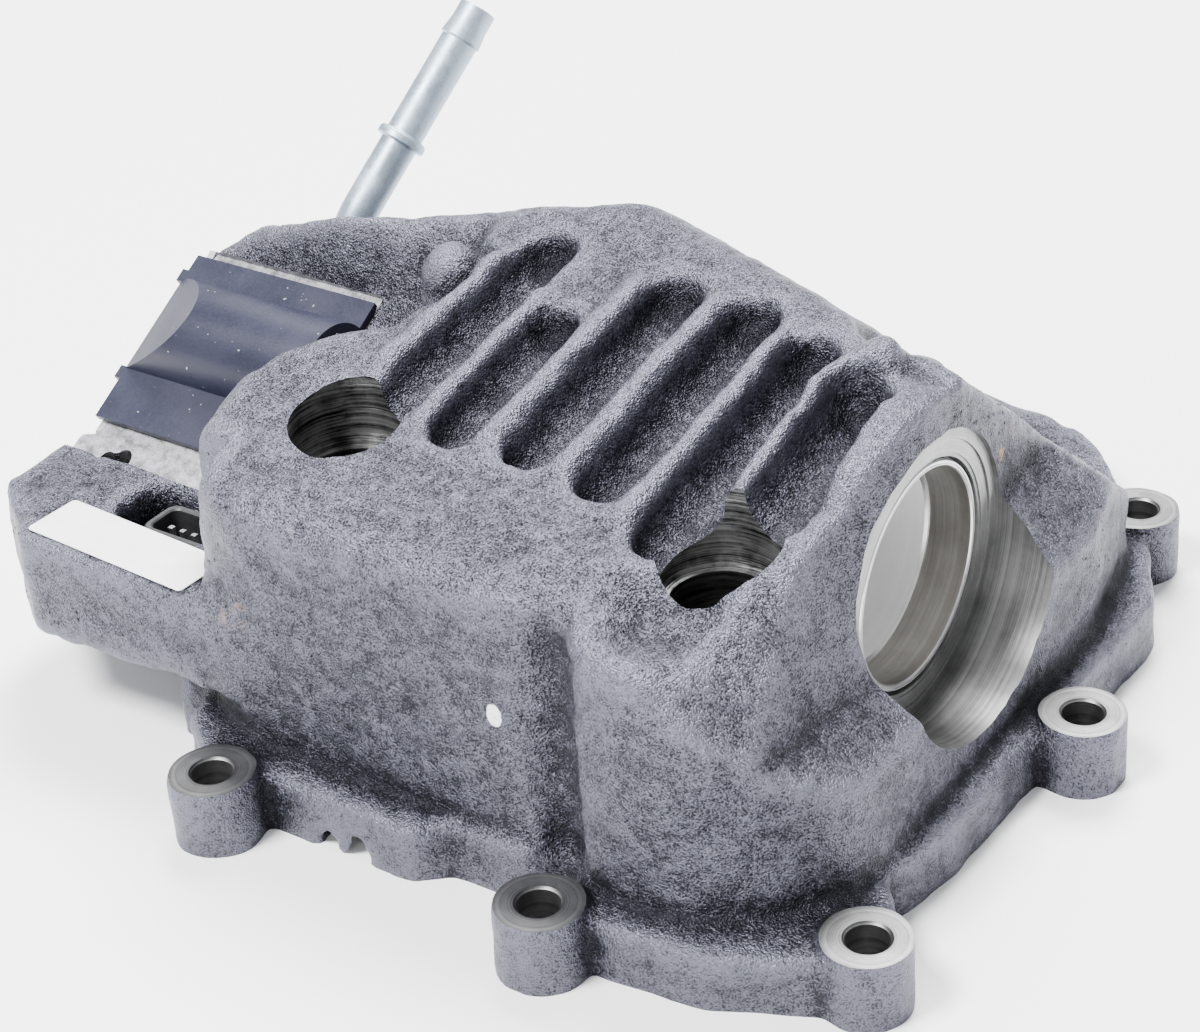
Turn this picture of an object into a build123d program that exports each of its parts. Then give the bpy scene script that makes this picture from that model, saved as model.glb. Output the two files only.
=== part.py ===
from build123d import *
from math import atan2, cos, degrees, hypot, pi, radians, sin, sqrt, tan
import os

os.makedirs("parts", exist_ok=True)

# Exhaust gas recirculation valve with a cast iron housing, a double poppet and an electric drive.
# Millimetres. +Z is up from the mounting face, +X runs along the valve axis and out of the gas port.
# The origin lies in the mounting face, straight below the valve axis, at the middle of the gas window.

# Mounting flange
flange_thick = 14.0
boss_top = 16.0
boss_radius = 9.3
bolt_hole_radius = 4.5
flange_corner = 4.0
bolt_a = (-59.1, -89.8)
bolt_b = (26.0, -90.4)
bolt_c = (86.6, -67.4)
bolt_d = (89.8, 19.5)
bolt_e = (65.3, 100.9)
bolt_f = (-14.7, 135.4)
bolt_g = (-97.0, 62.0)
flange_bolts = [bolt_a, bolt_b, bolt_c, bolt_d, bolt_e, bolt_f, bolt_g]
lug_turns = [-90.0, -90.0, -37.0, 0.0, 37.0, 90.0, 143.0]
lug_half_width = 10.5
lug_reach = 16.0
flange_front = [(-68.0, -83.0), (-12.0, -83.0), (-6.0, -77.0), (18.0, -77.0), (38.0, -88.0), (60.0, -86.0)]
flange_right = [(82.0, -75.5), (94.0, -70.0), (90.0, -59.0), (79.0, -46.0), (83.0, -25.0), (84.0, 70.0), (72.0, 92.0)]
flange_back = [(48.0, 121.0), (36.0, 133.0), (-8.0, 141.0), (-40.0, 120.0), (-98.0, 70.0), (-101.0, 52.0)]
flange_left = [(-94.0, -10.0), (-80.0, -74.0)]
arch_x = -31.0
arch_radius = 8.0
arch_depth = 5.0

# Deep bolt pockets through the body
pocket_a = (-54.0, -40.0)
pocket_b = (40.5, -43.0)
pocket_radius = 11.3
pocket_step_radius = 10.6
pocket_step_drop = 14.0
inner_bolt_radius = 5.5

# Body shell
lobe_a_radius = 34.0
lobe_b_radius = 37.0
front_wall_y = -74.0
right_wall_x = 77.5
left_wall_x = -64.0
left_wall_front_y = -20.0
body_back = [(70.0, 84.0), (50.0, 104.0), (4.0, 125.0), (-30.0, 127.0), (-78.0, 66.0)]
right_wall_back_y = 50.0
left_wall_back_y = 40.0
groove_x = 19.5
groove_radius = 5.0
roof_height = 77.0
roof_y = -48.0
roof_rise = 0.22
ridge_point = (-35.0, 47.0, 98.0)
back_fall = (1866, 4668, 5430)
left_back_fall = (-553, 1060, 1000)
corner_point = (37.0, -80.0, 75.0)
corner_fall = (680, -405, 610)
foot_height = 34.0
roof_panel_depth = 10.0

# Valve axis and gas port
axis_z = 52.0
port_face_x = 62.0
port_boss_radius = 40.0
port_boss_root_x = 30.0
spotface_radius = 32.0
spotface_step_radius = 30.0
spotface_step = 1.6
shoulder_height = 56.0
shoulder_fall = 18.0
sleeve_outer_radius = 25.0
sleeve_mouth_wall = 1.7
sleeve_wall = 2.7
sleeve_mouth_depth = 10.0
sleeve_length = 30.0
sleeve_proud = 0.6

# Gas ways
chamber_radius = 21.0
far_chamber_x = -40.0
seat_depth = 6.0
centre_chamber_half = 18.0
bypass_width = 15.0
bypass_height = 20.0
bypass_y = 27.0
window_x = 32.0
window_y = 44.0
window_corner = 7.0

# Ribs across the roof
rib_pitch = 18.5
rib_first_x = -55.5
rib_slot_width = 12.4
rib_slot_depth = 8.5
rib_slot_count = 6
slot_front_y = [-23.0, -37.0, -38.5, -41.0, -49.0, -33.0]
slot_back_y = [24.0, 5.0, 23.0, 21.0, 14.5, 9.0]

# Arm with the label and the plug pocket
arm_left_x = -146.0
arm_top = 46.0
arm_bottom = 21.0
arm_front_y = -74.5
arm_chamfer = 22.0
arm_edge_round = 3.0
plug_pocket_x = -100.5
plug_pocket_y = -47.0
plug_pocket_length = 30.0
plug_pocket_width = 17.0
plug_pocket_floor = 27.0
under_wall_x = -91.0
under_wall_length = 13.0
under_wall_y = -66.0
under_wall_run = 32.0

# Drive block, its sloping cover face and the raised wing behind it
block_left_x = -141.0
block_bottom = 22.0
pad_slope = 30.0
pad_front_y = -30.0
pad_back_y = 16.0
wing_x = [block_left_x, -128.0, -101.0, -60.0]
wing_crest = [74.0, 83.0, 90.0, 95.0]
wing_crest_y = [17.0, 17.5, 20.0, 35.0]
wing_back_y = [40.0, 41.0, 44.0, 68.0]
wing_back_z = 44.0
pad_drop = tan(radians(pad_slope))


def pad_z(y):
    return arm_top + (y - pad_front_y) * pad_drop


# Drive: motor, gears and nut
motor_radius = 11.2
motor_length = 33.0
motor_wall = 1.2
magnet_thick = 1.8
rotor_gap = 0.4
rotor_length = 16.0
rotor_slots = 5
commutator_radius = 3.4
commutator_length = 4.0
cap_thick = 2.0
shaft_radius = 1.2
small_bush_radius = 3.0
small_bush_length = 3.0
end_plate_thick = 2.0
gear_room_length = 15.0
gear_plate_thick = 4.0
gear_end_gap = 2.0
stage_gap = 2.0
plate_gap = 1.2
tooth_backlash = 0.16
pressure_angle = 25.0
motor_module = 0.8
pinion_teeth = 10
idler_big_teeth = 26
drive_module = 0.9
idler_small_teeth = 10
output_teeth = 22
idler_direction = -54.3
motor_direction = 19.1
first_face = 4.6
second_face = 5.0
journal_radius = 7.0
collar_radius = 8.5
running_gap = 0.05
stem_radius = 4.0
axle_radius = 2.0
drive_bush_radius = 10.4
drive_bush_width = 6.0
circlip_thick = 0.8
circlip_height = 1.6
spring_room_length = 26.0
spring_room_radius = 10.4
guide_groove_width = 3.4
guide_groove_radius = 12.4
guide_side_gap = 0.2
drive_room_radius = 12.4
valve_lift = 7.0
stem_bush_length = 20.0
stem_bush_radius = 7.0
stem_seal_length = 6.0
stem_hole_radius = 5.2
spring_coils = 5
spring_wire = 1.1
spring_mean_radius = 8.0
spring_facets = 20
spring_plate_thick = 2.0
magnet_depth = 2.9
magnet_width = 5.0

# Poppets and seats
seat_outer_radius = 18.0
seat_bore_radius = 13.0
seat_gap = 0.1
poppet_radius = 15.0
poppet_thick = 4.0
poppet_hub_radius = 6.5
poppet_hub_length = 3.0
rivet_length = 2.0

# Cover over the drive, measured along and square to the sloping pad
cover_left_x = -143.0
cover_right_x = -88.5
cover_front = 2.9
cover_back = 50.8
cover_flange = 2.4
hump_middle = 30.2
hump_radius = 13.5
hump_wall = 2.0
facet_run = 18.0
tab_size = 3.4
gasket_thick = 0.8
gasket_edge = 12.0
board_height = 4.4
board_thick = 1.2
board_length = 22.0
board_width = 15.0
board_x = -107.0
end_screw_radius = 2.0
end_screw_depth = 8.0
end_screw_head = 3.4
end_screw_head_height = 2.4
end_screws = [(-20.0, 30.0), (-20.0, 44.0), (14.0, 66.0), (27.0, 27.0)]

# Coolant tube
tube_radius = 4.7
tube_bore_radius = 3.6
tube_start = (-121.0, 35.0, 61.0)
tube_bend = (-118.0, 43.0, 76.0)
tube_tip = (-106.0, 83.0, 118.0)
tube_bend_radius = 28.0
tube_boss_radius = 8.0
bead_radius = 6.3
bead_from_tip = 38.0
barb_radius = 5.3
barb_from_tip = 9.0
tip_radius = 3.9

# Plug in the arm pocket
plug_length = 22.0
plug_width = 12.0
plug_height = 15.0
plug_wall = 1.6
plug_floor = 3.0
plug_offset = 3.0
pin_count = 5
pin_pitch = 3.4
pin_side = 1.2
pin_height = 10.0

# Blank label
label_size = (48.0, 14.6)
label_corner = 1.2
label_thick = 0.3
label_centre = (-100.8, -64.8)
label_turn = -3.4

# Stations along the valve axis
gear_room_x = block_left_x
gear_plate_x = gear_room_x + gear_room_length
motor_x = gear_plate_x + gear_plate_thick
spring_room_x = motor_x + drive_bush_width
spring_wall_x = spring_room_x + spring_room_length
first_gear_x = gear_room_x + gear_end_gap
second_gear_x = gear_plate_x - plate_gap - second_face
nut_end_x = spring_room_x + 0.2 + circlip_thick + 0.8
stem_end_x = second_gear_x + 0.8
spring_plate_x = nut_end_x + 1.2 + magnet_depth
stem_centre = (0.0, axis_z)
sleeve_x = port_face_x - spotface_step + sleeve_proud - sleeve_length
sleeve_bore_radius = sleeve_outer_radius - sleeve_mouth_wall
sleeve_step_radius = sleeve_outer_radius - sleeve_wall
sleeve_step_x = sleeve_x + sleeve_length - sleeve_mouth_depth
seat_x = centre_chamber_half

# Shaft centres from the gears' own sizes
drive_distance = drive_module * (output_teeth + idler_small_teeth) / 2
motor_distance = motor_module * (pinion_teeth + idler_big_teeth) / 2
idler_centre = (
    drive_distance * cos(radians(idler_direction)),
    axis_z + drive_distance * sin(radians(idler_direction)),
)
motor_centre = (
    idler_centre[0] + motor_distance * cos(radians(motor_direction)),
    idler_centre[1] + motor_distance * sin(radians(motor_direction)),
)


def pad_point(along, above):
    slope = radians(pad_slope)
    return (
        pad_front_y + along * cos(slope) - above * sin(slope),
        arm_top + along * sin(slope) + above * cos(slope),
    )


def roof_z(y):
    return roof_height + (y - roof_y) * roof_rise


def disc(centre, radius, x_from, length, mode=Mode.ADD):
    with BuildSketch(Plane.YZ.offset(x_from)) as round_face:
        with Locations(centre):
            Circle(radius)
    extrude(round_face.sketch, amount=length, mode=mode)


def gear_outline(teeth, module, turn=0.0):
    pitch = teeth * module / 2
    alpha = radians(pressure_angle)
    base = pitch * cos(alpha)
    tip = pitch + 0.8 * module
    root = pitch - 1.0 * module
    inv = tan(alpha) - alpha
    half_tooth = (pi * module / 2 - tooth_backlash) / (2 * pitch)

    def flank(radius):
        if radius <= base:
            return half_tooth + inv
        pressure = sqrt((radius / base) ** 2 - 1)
        return half_tooth + inv - (pressure - atan2(pressure, 1))

    radii = [root, max(base, root), (max(base, root) + tip) / 2, tip]
    points = []
    for tooth in range(teeth):
        middle = 2 * pi * tooth / teeth + radians(turn)
        for radius in radii:
            points.append((radius * cos(middle - flank(radius)), radius * sin(middle - flank(radius))))
        for radius in reversed(radii):
            points.append((radius * cos(middle + flank(radius)), radius * sin(middle + flank(radius))))
    return points


# Path of the coolant tube, out of the wing and bent up to its hose end
tube_start_dir = (Vector(*tube_bend) - Vector(*tube_start)).normalized()
tube_dir = (Vector(*tube_tip) - Vector(*tube_bend)).normalized()
with BuildLine() as tube_line:
    FilletPolyline(tube_start, tube_bend, tube_tip, radius=tube_bend_radius)

# The whole iron casting, machined, before it is shared out into regions that meet face to face
roof_plane = Plane(origin=(0, roof_y, roof_height), z_dir=(0, -roof_rise, 1))
back_plane = Plane(origin=ridge_point, z_dir=back_fall)
left_back_plane = Plane(origin=ridge_point, z_dir=left_back_fall)
corner_plane = Plane(origin=corner_point, z_dir=corner_fall)

with BuildPart() as casting:
    # Main body, a drafted block round the two bolt pockets, cut by its roof and by two falling faces
    with BuildSketch(Plane.XY):
        Polygon(
            (pocket_a[0], front_wall_y), (pocket_b[0], front_wall_y), (right_wall_x, pocket_b[1]),
            (right_wall_x, right_wall_back_y), *body_back, (left_wall_x, left_wall_back_y),
            (left_wall_x, left_wall_front_y), (pocket_a[0], pocket_a[1]),
            align=None,
        )
        with Locations(pocket_a):
            Circle(lobe_a_radius)
        with Locations(pocket_b):
            Circle(lobe_b_radius)
        with Locations((groove_x, front_wall_y)):
            Circle(groove_radius, mode=Mode.SUBTRACT)
    extrude(amount=roof_height * 1.5)
    split(bisect_by=roof_plane, keep=Keep.BOTTOM)
    split(bisect_by=back_plane, keep=Keep.BOTTOM)
    split(bisect_by=corner_plane, keep=Keep.BOTTOM)
    split(bisect_by=left_back_plane, keep=Keep.BOTTOM)

    # Round boss for the gas port, and the shoulder that falls away behind it
    with BuildSketch(Plane.YZ.offset(port_boss_root_x)):
        with Locations(stem_centre):
            Circle(port_boss_radius)
    extrude(amount=port_face_x - port_boss_root_x)
    with BuildSketch(Plane.XZ.offset(-100.0)):
        Polygon(
            (port_face_x, shoulder_height), (port_face_x + shoulder_fall, shoulder_height - shoulder_fall),
            (port_face_x + 40.0, shoulder_height - shoulder_fall), (port_face_x + 40.0, shoulder_height + 64.0),
            (port_face_x, shoulder_height + 64.0),
            align=None,
        )
    extrude(amount=112.0, mode=Mode.SUBTRACT)

    # Mounting flange with its bolt bosses
    with BuildSketch(Plane.XY):
        Polygon(*flange_front, *flange_right, *flange_back, *flange_left, align=None)
    extrude(amount=flange_thick)
    with BuildSketch(Plane.XY):
        with Locations(*flange_bolts):
            Circle(boss_radius)
    extrude(amount=boss_top)
    # Arched relief under the flange's front edge
    with BuildSketch(Plane.XZ.offset(-flange_front[0][1] - 1.0)):
        with Locations((arch_x, 0.0)):
            Circle(arch_radius)
    extrude(amount=-arch_depth - 1.0, mode=Mode.SUBTRACT)

    # Wall that carries the arm, and the arm beside the drive
    with BuildSketch(Plane.XY):
        with Locations((under_wall_x + under_wall_length / 2, under_wall_y + under_wall_run / 2)):
            Rectangle(under_wall_length, under_wall_run)
    extrude(amount=arm_bottom + 3.0)
    with BuildSketch(Plane.XY.offset(arm_bottom)):
        Polygon(
            (arm_left_x, pad_front_y), (arm_left_x, arm_front_y + arm_chamfer * 0.8),
            (arm_left_x + arm_chamfer, arm_front_y), (pocket_a[0], arm_front_y), (pocket_a[0], pad_front_y),
            align=None,
        )
    extrude(amount=arm_top - arm_bottom)

    # Drive block with its sloping cover face and the raised wing behind it
    for station in range(len(wing_x) - 1):
        for near in (station, station + 1):
            with BuildSketch(Plane.YZ.offset(wing_x[near])):
                Polygon(
                    (pad_front_y, block_bottom), (pad_front_y, arm_top), (pad_back_y, pad_z(pad_back_y)),
                    (wing_crest_y[near], wing_crest[near]), (wing_crest_y[near] + 7.0, wing_crest[near] - 4.0),
                    (wing_back_y[near], wing_back_z), (wing_back_y[near], block_bottom),
                    align=None,
                )
        loft()

    # Cast dome in the valley behind the first pocket
    with Locations((-66.0, 13.0, 80.0)):
        Sphere(8.0)

    # Boss for the coolant tube on the back of the wing
    with Locations(tube_start):
        Sphere(tube_boss_radius)
    with BuildSketch(Plane(origin=tube_start, z_dir=tube_start_dir)):
        Circle(tube_radius)
    sweep(path=tube_line.line, mode=Mode.SUBTRACT)

    # Slots between the ribs
    for index in range(rib_slot_count):
        slot_x = rib_first_x + rib_pitch * (index + 0.5)
        slot_middle = (slot_front_y[index] + slot_back_y[index]) / 2
        slot_length = slot_back_y[index] - slot_front_y[index]
        slot_plane = Plane(
            origin=(slot_x, slot_middle, roof_z(slot_middle) - rib_slot_depth),
            x_dir=(0, 1, roof_rise), z_dir=(0, -roof_rise, 1),
        )
        with BuildSketch(slot_plane):
            SlotOverall(slot_length, rib_slot_width)
        extrude(amount=30.0, mode=Mode.SUBTRACT)

    # Deep bolt pockets, stepped, with a bolt hole through each floor
    for pocket in (pocket_a, pocket_b):
        step_z = roof_z(pocket[1]) - pocket_step_drop
        with BuildSketch(Plane.XY.offset(step_z)):
            with Locations(pocket):
                Circle(pocket_radius)
        extrude(amount=60.0, mode=Mode.SUBTRACT)
        with BuildSketch(Plane.XY.offset(foot_height)):
            with Locations(pocket):
                Circle(pocket_step_radius)
        extrude(amount=60.0, mode=Mode.SUBTRACT)
        with BuildSketch(Plane.XY):
            with Locations(pocket):
                Circle(inner_bolt_radius)
        extrude(amount=60.0, mode=Mode.SUBTRACT)

    # Flange bolt holes
    with BuildSketch(Plane.XY):
        with Locations(*flange_bolts):
            Circle(bolt_hole_radius)
    extrude(amount=boss_top, mode=Mode.SUBTRACT)
    with BuildSketch(Plane.XY.offset(boss_top)):
        with Locations(*flange_bolts):
            Circle(boss_radius + 0.6)
    extrude(amount=26.0, mode=Mode.SUBTRACT)

    # Port: spotface, step, sleeve bore and the chamber behind it
    disc(stem_centre, spotface_radius, port_face_x, 60.0, mode=Mode.SUBTRACT)
    disc(stem_centre, spotface_step_radius, port_face_x - spotface_step, 60.0, mode=Mode.SUBTRACT)
    disc(stem_centre, sleeve_outer_radius, sleeve_x, 60.0, mode=Mode.SUBTRACT)
    disc(stem_centre, chamber_radius, seat_x + seat_depth, 60.0, mode=Mode.SUBTRACT)
    # Valve seats' bores, centre chamber and far chamber
    disc(stem_centre, seat_outer_radius, -seat_x - seat_depth, 2 * (seat_x + seat_depth), mode=Mode.SUBTRACT)
    far_end = -seat_x - seat_depth
    disc(stem_centre, chamber_radius, far_chamber_x, far_end - far_chamber_x, mode=Mode.SUBTRACT)
    # Gas window in the mounting face, and the bypass that joins the two outer chambers
    with BuildSketch(Plane.XY):
        RectangleRounded(window_x, window_y, window_corner)
    extrude(amount=axis_z, mode=Mode.SUBTRACT)
    with BuildSketch(Plane.YZ.offset(far_chamber_x)):
        with Locations((bypass_y, axis_z)):
            RectangleRounded(bypass_width, bypass_height, 4.0)
    extrude(amount=sleeve_x - far_chamber_x, mode=Mode.SUBTRACT)
    for side_x in (far_chamber_x, sleeve_x - 8.0):
        with BuildSketch(Plane.YZ.offset(side_x)):
            with Locations((bypass_y - 12.0, axis_z)):
                Rectangle(24.0, bypass_height - 6.0)
        extrude(amount=8.0, mode=Mode.SUBTRACT)

    # Drive rooms: gears, motor, bush and spring, open to the cover
    with BuildSketch(Plane.YZ.offset(gear_room_x)):
        with Locations(stem_centre, idler_centre, motor_centre):
            Circle(drive_room_radius)
        make_hull()
    extrude(amount=gear_room_length + gear_plate_thick, mode=Mode.SUBTRACT)
    disc(motor_centre, motor_radius, motor_x, motor_length + 1.0, mode=Mode.SUBTRACT)
    disc(stem_centre, drive_bush_radius, motor_x, drive_bush_width, mode=Mode.SUBTRACT)
    disc(stem_centre, spring_room_radius, spring_room_x, spring_room_length, mode=Mode.SUBTRACT)
    with BuildSketch(Plane.YZ.offset(spring_room_x)):
        with Locations((0.0, axis_z - guide_groove_radius / 2)):
            Rectangle(guide_groove_width, guide_groove_radius)
    extrude(amount=spring_room_length, mode=Mode.SUBTRACT)
    disc(stem_centre, stem_bush_radius, spring_wall_x, stem_bush_length + stem_seal_length, mode=Mode.SUBTRACT)
    disc(stem_centre, stem_hole_radius, spring_wall_x, far_chamber_x - spring_wall_x, mode=Mode.SUBTRACT)
    with BuildSketch(Plane.YZ.offset(gear_room_x)):
        with Locations(*end_screws):
            Circle(end_screw_radius)
    extrude(amount=end_screw_depth, mode=Mode.SUBTRACT)

    # Pocket for the electrical plug in the arm, and the pair of drilled holes beside it
    with BuildSketch(Plane.XY.offset(plug_pocket_floor)):
        with Locations((plug_pocket_x, plug_pocket_y)):
            RectangleRounded(plug_pocket_length, plug_pocket_width, 6.0)
    extrude(amount=arm_top, mode=Mode.SUBTRACT)
    with BuildSketch(Plane.XY.offset(arm_bottom + 4.0)):
        with Locations((-134.5, -35.5), (-130.5, -34.0)):
            Circle(2.4)
    extrude(amount=arm_top, mode=Mode.SUBTRACT)


# Regions of the casting: seven lugs, the feet and walls round the bolt pockets, the port boss, the drive end
# with its arm, the mounting flange, the ribbed roof, and the main housing round the gas ways
left_parting_x = motor_x + motor_length + 19.0
pocket_parting_x = plug_pocket_x + plug_pocket_length / 2 + 1.5
pocket_side_wall = 4.7
pocket_back_wall = 2.7
left_pocket_right = pocket_a[0] + pocket_radius + pocket_side_wall
left_pocket_back = pocket_a[1] + pocket_radius + pocket_back_wall
right_pocket_left = pocket_b[0] - pocket_radius - 5.2
right_pocket_back = pocket_b[1] + pocket_radius + pocket_back_wall
beyond = 170.0

with BuildPart() as lug_region:
    for place, turn in zip(flange_bolts, lug_turns):
        with BuildSketch(Plane.XY):
            with Locations(Location((place[0], place[1], 0.0), (0.0, 0.0, turn))):
                with Locations(((lug_reach - lug_half_width) / 2, 0.0)):
                    Rectangle(lug_reach + lug_half_width, 2 * lug_half_width)
        extrude(amount=boss_top)

with BuildPart() as left_region:
    with BuildSketch(Plane.XY):
        Polygon(
            (pocket_parting_x, -beyond), (left_pocket_right, -beyond), (left_pocket_right, left_pocket_back),
            (pocket_parting_x, left_pocket_back),
            align=None,
        )
    extrude(amount=beyond)

with BuildPart() as right_region:
    with BuildSketch(Plane.XY):
        Polygon(
            (right_pocket_left, -beyond), (beyond, -beyond), (beyond, right_pocket_back),
            (right_pocket_left, right_pocket_back),
            align=None,
        )
    extrude(amount=beyond)

with BuildPart() as foot_region:
    with BuildSketch(Plane.XY):
        Rectangle(2 * beyond, 2 * beyond)
    extrude(amount=foot_height)

with BuildPart() as flange_region:
    with BuildSketch(Plane.XY):
        Rectangle(2 * beyond, 2 * beyond)
    extrude(amount=flange_thick)

with BuildPart() as port_region:
    with BuildSketch(Plane.XY):
        Polygon(
            (sleeve_x, right_pocket_back), (beyond, right_pocket_back), (beyond, beyond), (sleeve_x, beyond),
            align=None,
        )
    extrude(amount=beyond)

with BuildPart() as arm_region:
    with BuildSketch(Plane.XY):
        Polygon(
            (-beyond, -beyond), (pocket_parting_x, -beyond), (pocket_parting_x, pad_front_y), (-beyond, pad_front_y),
            align=None,
        )
    extrude(amount=beyond)

with BuildPart() as drive_region:
    with BuildSketch(Plane.XY):
        Polygon(
            (-beyond, -beyond), (left_parting_x, -beyond), (left_parting_x, beyond), (-beyond, beyond),
            align=None,
        )
    extrude(amount=beyond)

with BuildPart() as roof_region:
    with BuildSketch(roof_plane.offset(-roof_panel_depth)):
        Rectangle(2 * beyond, 2 * beyond)
    extrude(amount=60.0)

with BuildPart() as flange_lugs:
    add(casting.part)
    add(lug_region.part, mode=Mode.INTERSECT)

with BuildPart() as without_lugs:
    add(casting.part)
    add(lug_region.part, mode=Mode.SUBTRACT)

with BuildPart() as left_column:
    add(without_lugs.part)
    add(left_region.part, mode=Mode.INTERSECT)

with BuildPart() as left_pocket_foot:
    add(left_column.part)
    add(foot_region.part, mode=Mode.INTERSECT)

with BuildPart() as left_pocket_wall:
    add(left_column.part)
    add(foot_region.part, mode=Mode.SUBTRACT)

with BuildPart() as right_column:
    add(without_lugs.part)
    add(right_region.part, mode=Mode.INTERSECT)

with BuildPart() as right_pocket_foot:
    add(right_column.part)
    add(foot_region.part, mode=Mode.INTERSECT)

with BuildPart() as right_pocket_wall:
    add(right_column.part)
    add(foot_region.part, mode=Mode.SUBTRACT)

with BuildPart() as without_columns:
    add(without_lugs.part)
    add(left_region.part, mode=Mode.SUBTRACT)
    add(right_region.part, mode=Mode.SUBTRACT)

with BuildPart() as mounting_flange:
    add(without_columns.part)
    add(flange_region.part, mode=Mode.INTERSECT)

with BuildPart() as above_flange:
    add(without_columns.part)
    add(flange_region.part, mode=Mode.SUBTRACT)

with BuildPart() as port_boss:
    add(above_flange.part)
    add(port_region.part, mode=Mode.INTERSECT)

with BuildPart() as drive_arm:
    add(above_flange.part)
    add(arm_region.part, mode=Mode.INTERSECT)

with BuildPart() as drive_casing:
    add(above_flange.part)
    add(drive_region.part, mode=Mode.INTERSECT)
    add(arm_region.part, mode=Mode.SUBTRACT)

with BuildPart() as middle_block:
    add(above_flange.part)
    add(port_region.part, mode=Mode.SUBTRACT)
    add(drive_region.part, mode=Mode.SUBTRACT)
    add(arm_region.part, mode=Mode.SUBTRACT)

with BuildPart() as ribbed_roof:
    add(middle_block.part)
    add(roof_region.part, mode=Mode.INTERSECT)

with BuildPart() as valve_housing:
    add(middle_block.part)
    add(roof_region.part, mode=Mode.SUBTRACT)


# Sleeve in the gas port
with BuildPart() as port_sleeve:
    disc(stem_centre, sleeve_outer_radius, sleeve_x, sleeve_length)
    disc(stem_centre, sleeve_step_radius, sleeve_x, sleeve_length, mode=Mode.SUBTRACT)
    disc(stem_centre, sleeve_bore_radius, sleeve_step_x, sleeve_length, mode=Mode.SUBTRACT)

# Seat rings
with BuildPart() as seat_port_side:
    disc(stem_centre, seat_outer_radius, centre_chamber_half, seat_depth)
    disc(stem_centre, seat_bore_radius, centre_chamber_half, seat_depth, mode=Mode.SUBTRACT)
    chamfer(seat_port_side.edges().filter_by(GeomType.CIRCLE).sort_by(SortBy.RADIUS)[0:2], 0.8)

with BuildPart() as seat_far_side:
    disc(stem_centre, seat_outer_radius, -centre_chamber_half - seat_depth, seat_depth)
    disc(stem_centre, seat_bore_radius, -centre_chamber_half - seat_depth, seat_depth, mode=Mode.SUBTRACT)
    chamfer(seat_far_side.edges().filter_by(GeomType.CIRCLE).sort_by(SortBy.RADIUS)[0:2], 0.8)

# Poppets on the stem, each resting on the port side of its seat
poppet_port_x = centre_chamber_half + seat_depth + seat_gap
poppet_far_x = -centre_chamber_half + seat_gap
with BuildPart() as poppet_port_side:
    disc(stem_centre, poppet_radius, poppet_port_x, poppet_thick)
    chamfer(poppet_port_side.edges().filter_by(GeomType.CIRCLE).sort_by(Axis.X)[1:2], 1.2)
    disc(stem_centre, poppet_hub_radius, poppet_port_x, poppet_thick + poppet_hub_length)
    disc(stem_centre, stem_radius, poppet_port_x, poppet_thick + poppet_hub_length, mode=Mode.SUBTRACT)

with BuildPart() as poppet_far_side:
    disc(stem_centre, poppet_radius, poppet_far_x, poppet_thick)
    chamfer(poppet_far_side.edges().filter_by(GeomType.CIRCLE).sort_by(Axis.X)[1:2], 1.2)
    disc(stem_centre, poppet_hub_radius, poppet_far_x, poppet_thick + poppet_hub_length)
    disc(stem_centre, stem_radius, poppet_far_x, poppet_thick + poppet_hub_length, mode=Mode.SUBTRACT)

# Valve stem, riveted over at the port end and threaded at the drive end
stem_tip_x = poppet_port_x + poppet_thick + poppet_hub_length
with BuildPart() as valve_stem:
    disc(stem_centre, stem_radius, stem_end_x, stem_tip_x - stem_end_x)
    chamfer(valve_stem.edges().filter_by(GeomType.CIRCLE).sort_by(Axis.X)[0:1], 0.8)
    disc(stem_centre, stem_radius + 0.9, stem_tip_x, rivet_length)

with BuildPart() as stem_bush:
    disc(stem_centre, stem_bush_radius, spring_wall_x, stem_bush_length)
    disc(stem_centre, stem_radius + running_gap, spring_wall_x, stem_bush_length, mode=Mode.SUBTRACT)

with BuildPart() as stem_seal:
    disc(stem_centre, stem_bush_radius, spring_wall_x + stem_bush_length, stem_seal_length)
    disc(
        stem_centre, stem_radius + running_gap, spring_wall_x + stem_bush_length, stem_seal_length,
        mode=Mode.SUBTRACT,
    )

# Spring plate with a tongue that keeps the stem from turning, its clip and the position magnet
with BuildPart() as spring_plate:
    plate_radius = spring_room_radius - 0.6
    disc(stem_centre, plate_radius, spring_plate_x, spring_plate_thick)
    with BuildSketch(Plane.YZ.offset(spring_plate_x)):
        with Locations((0.0, axis_z - plate_radius / 2 - 1.0)):
            Rectangle(guide_groove_width - 2 * guide_side_gap, guide_groove_radius - 1.2)
    extrude(amount=spring_plate_thick)
    disc(stem_centre, stem_radius, spring_plate_x, spring_plate_thick, mode=Mode.SUBTRACT)

with BuildPart() as stem_circlip:
    disc(stem_centre, stem_radius + circlip_height, spring_plate_x - circlip_thick, circlip_thick)
    disc(stem_centre, stem_radius, spring_plate_x - circlip_thick, circlip_thick, mode=Mode.SUBTRACT)
    with BuildSketch(Plane.YZ.offset(spring_plate_x - circlip_thick)):
        with Locations((0.0, axis_z - stem_radius - circlip_height / 2)):
            Rectangle(3.0, circlip_height * 2)
    extrude(amount=circlip_thick, mode=Mode.SUBTRACT)

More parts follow.
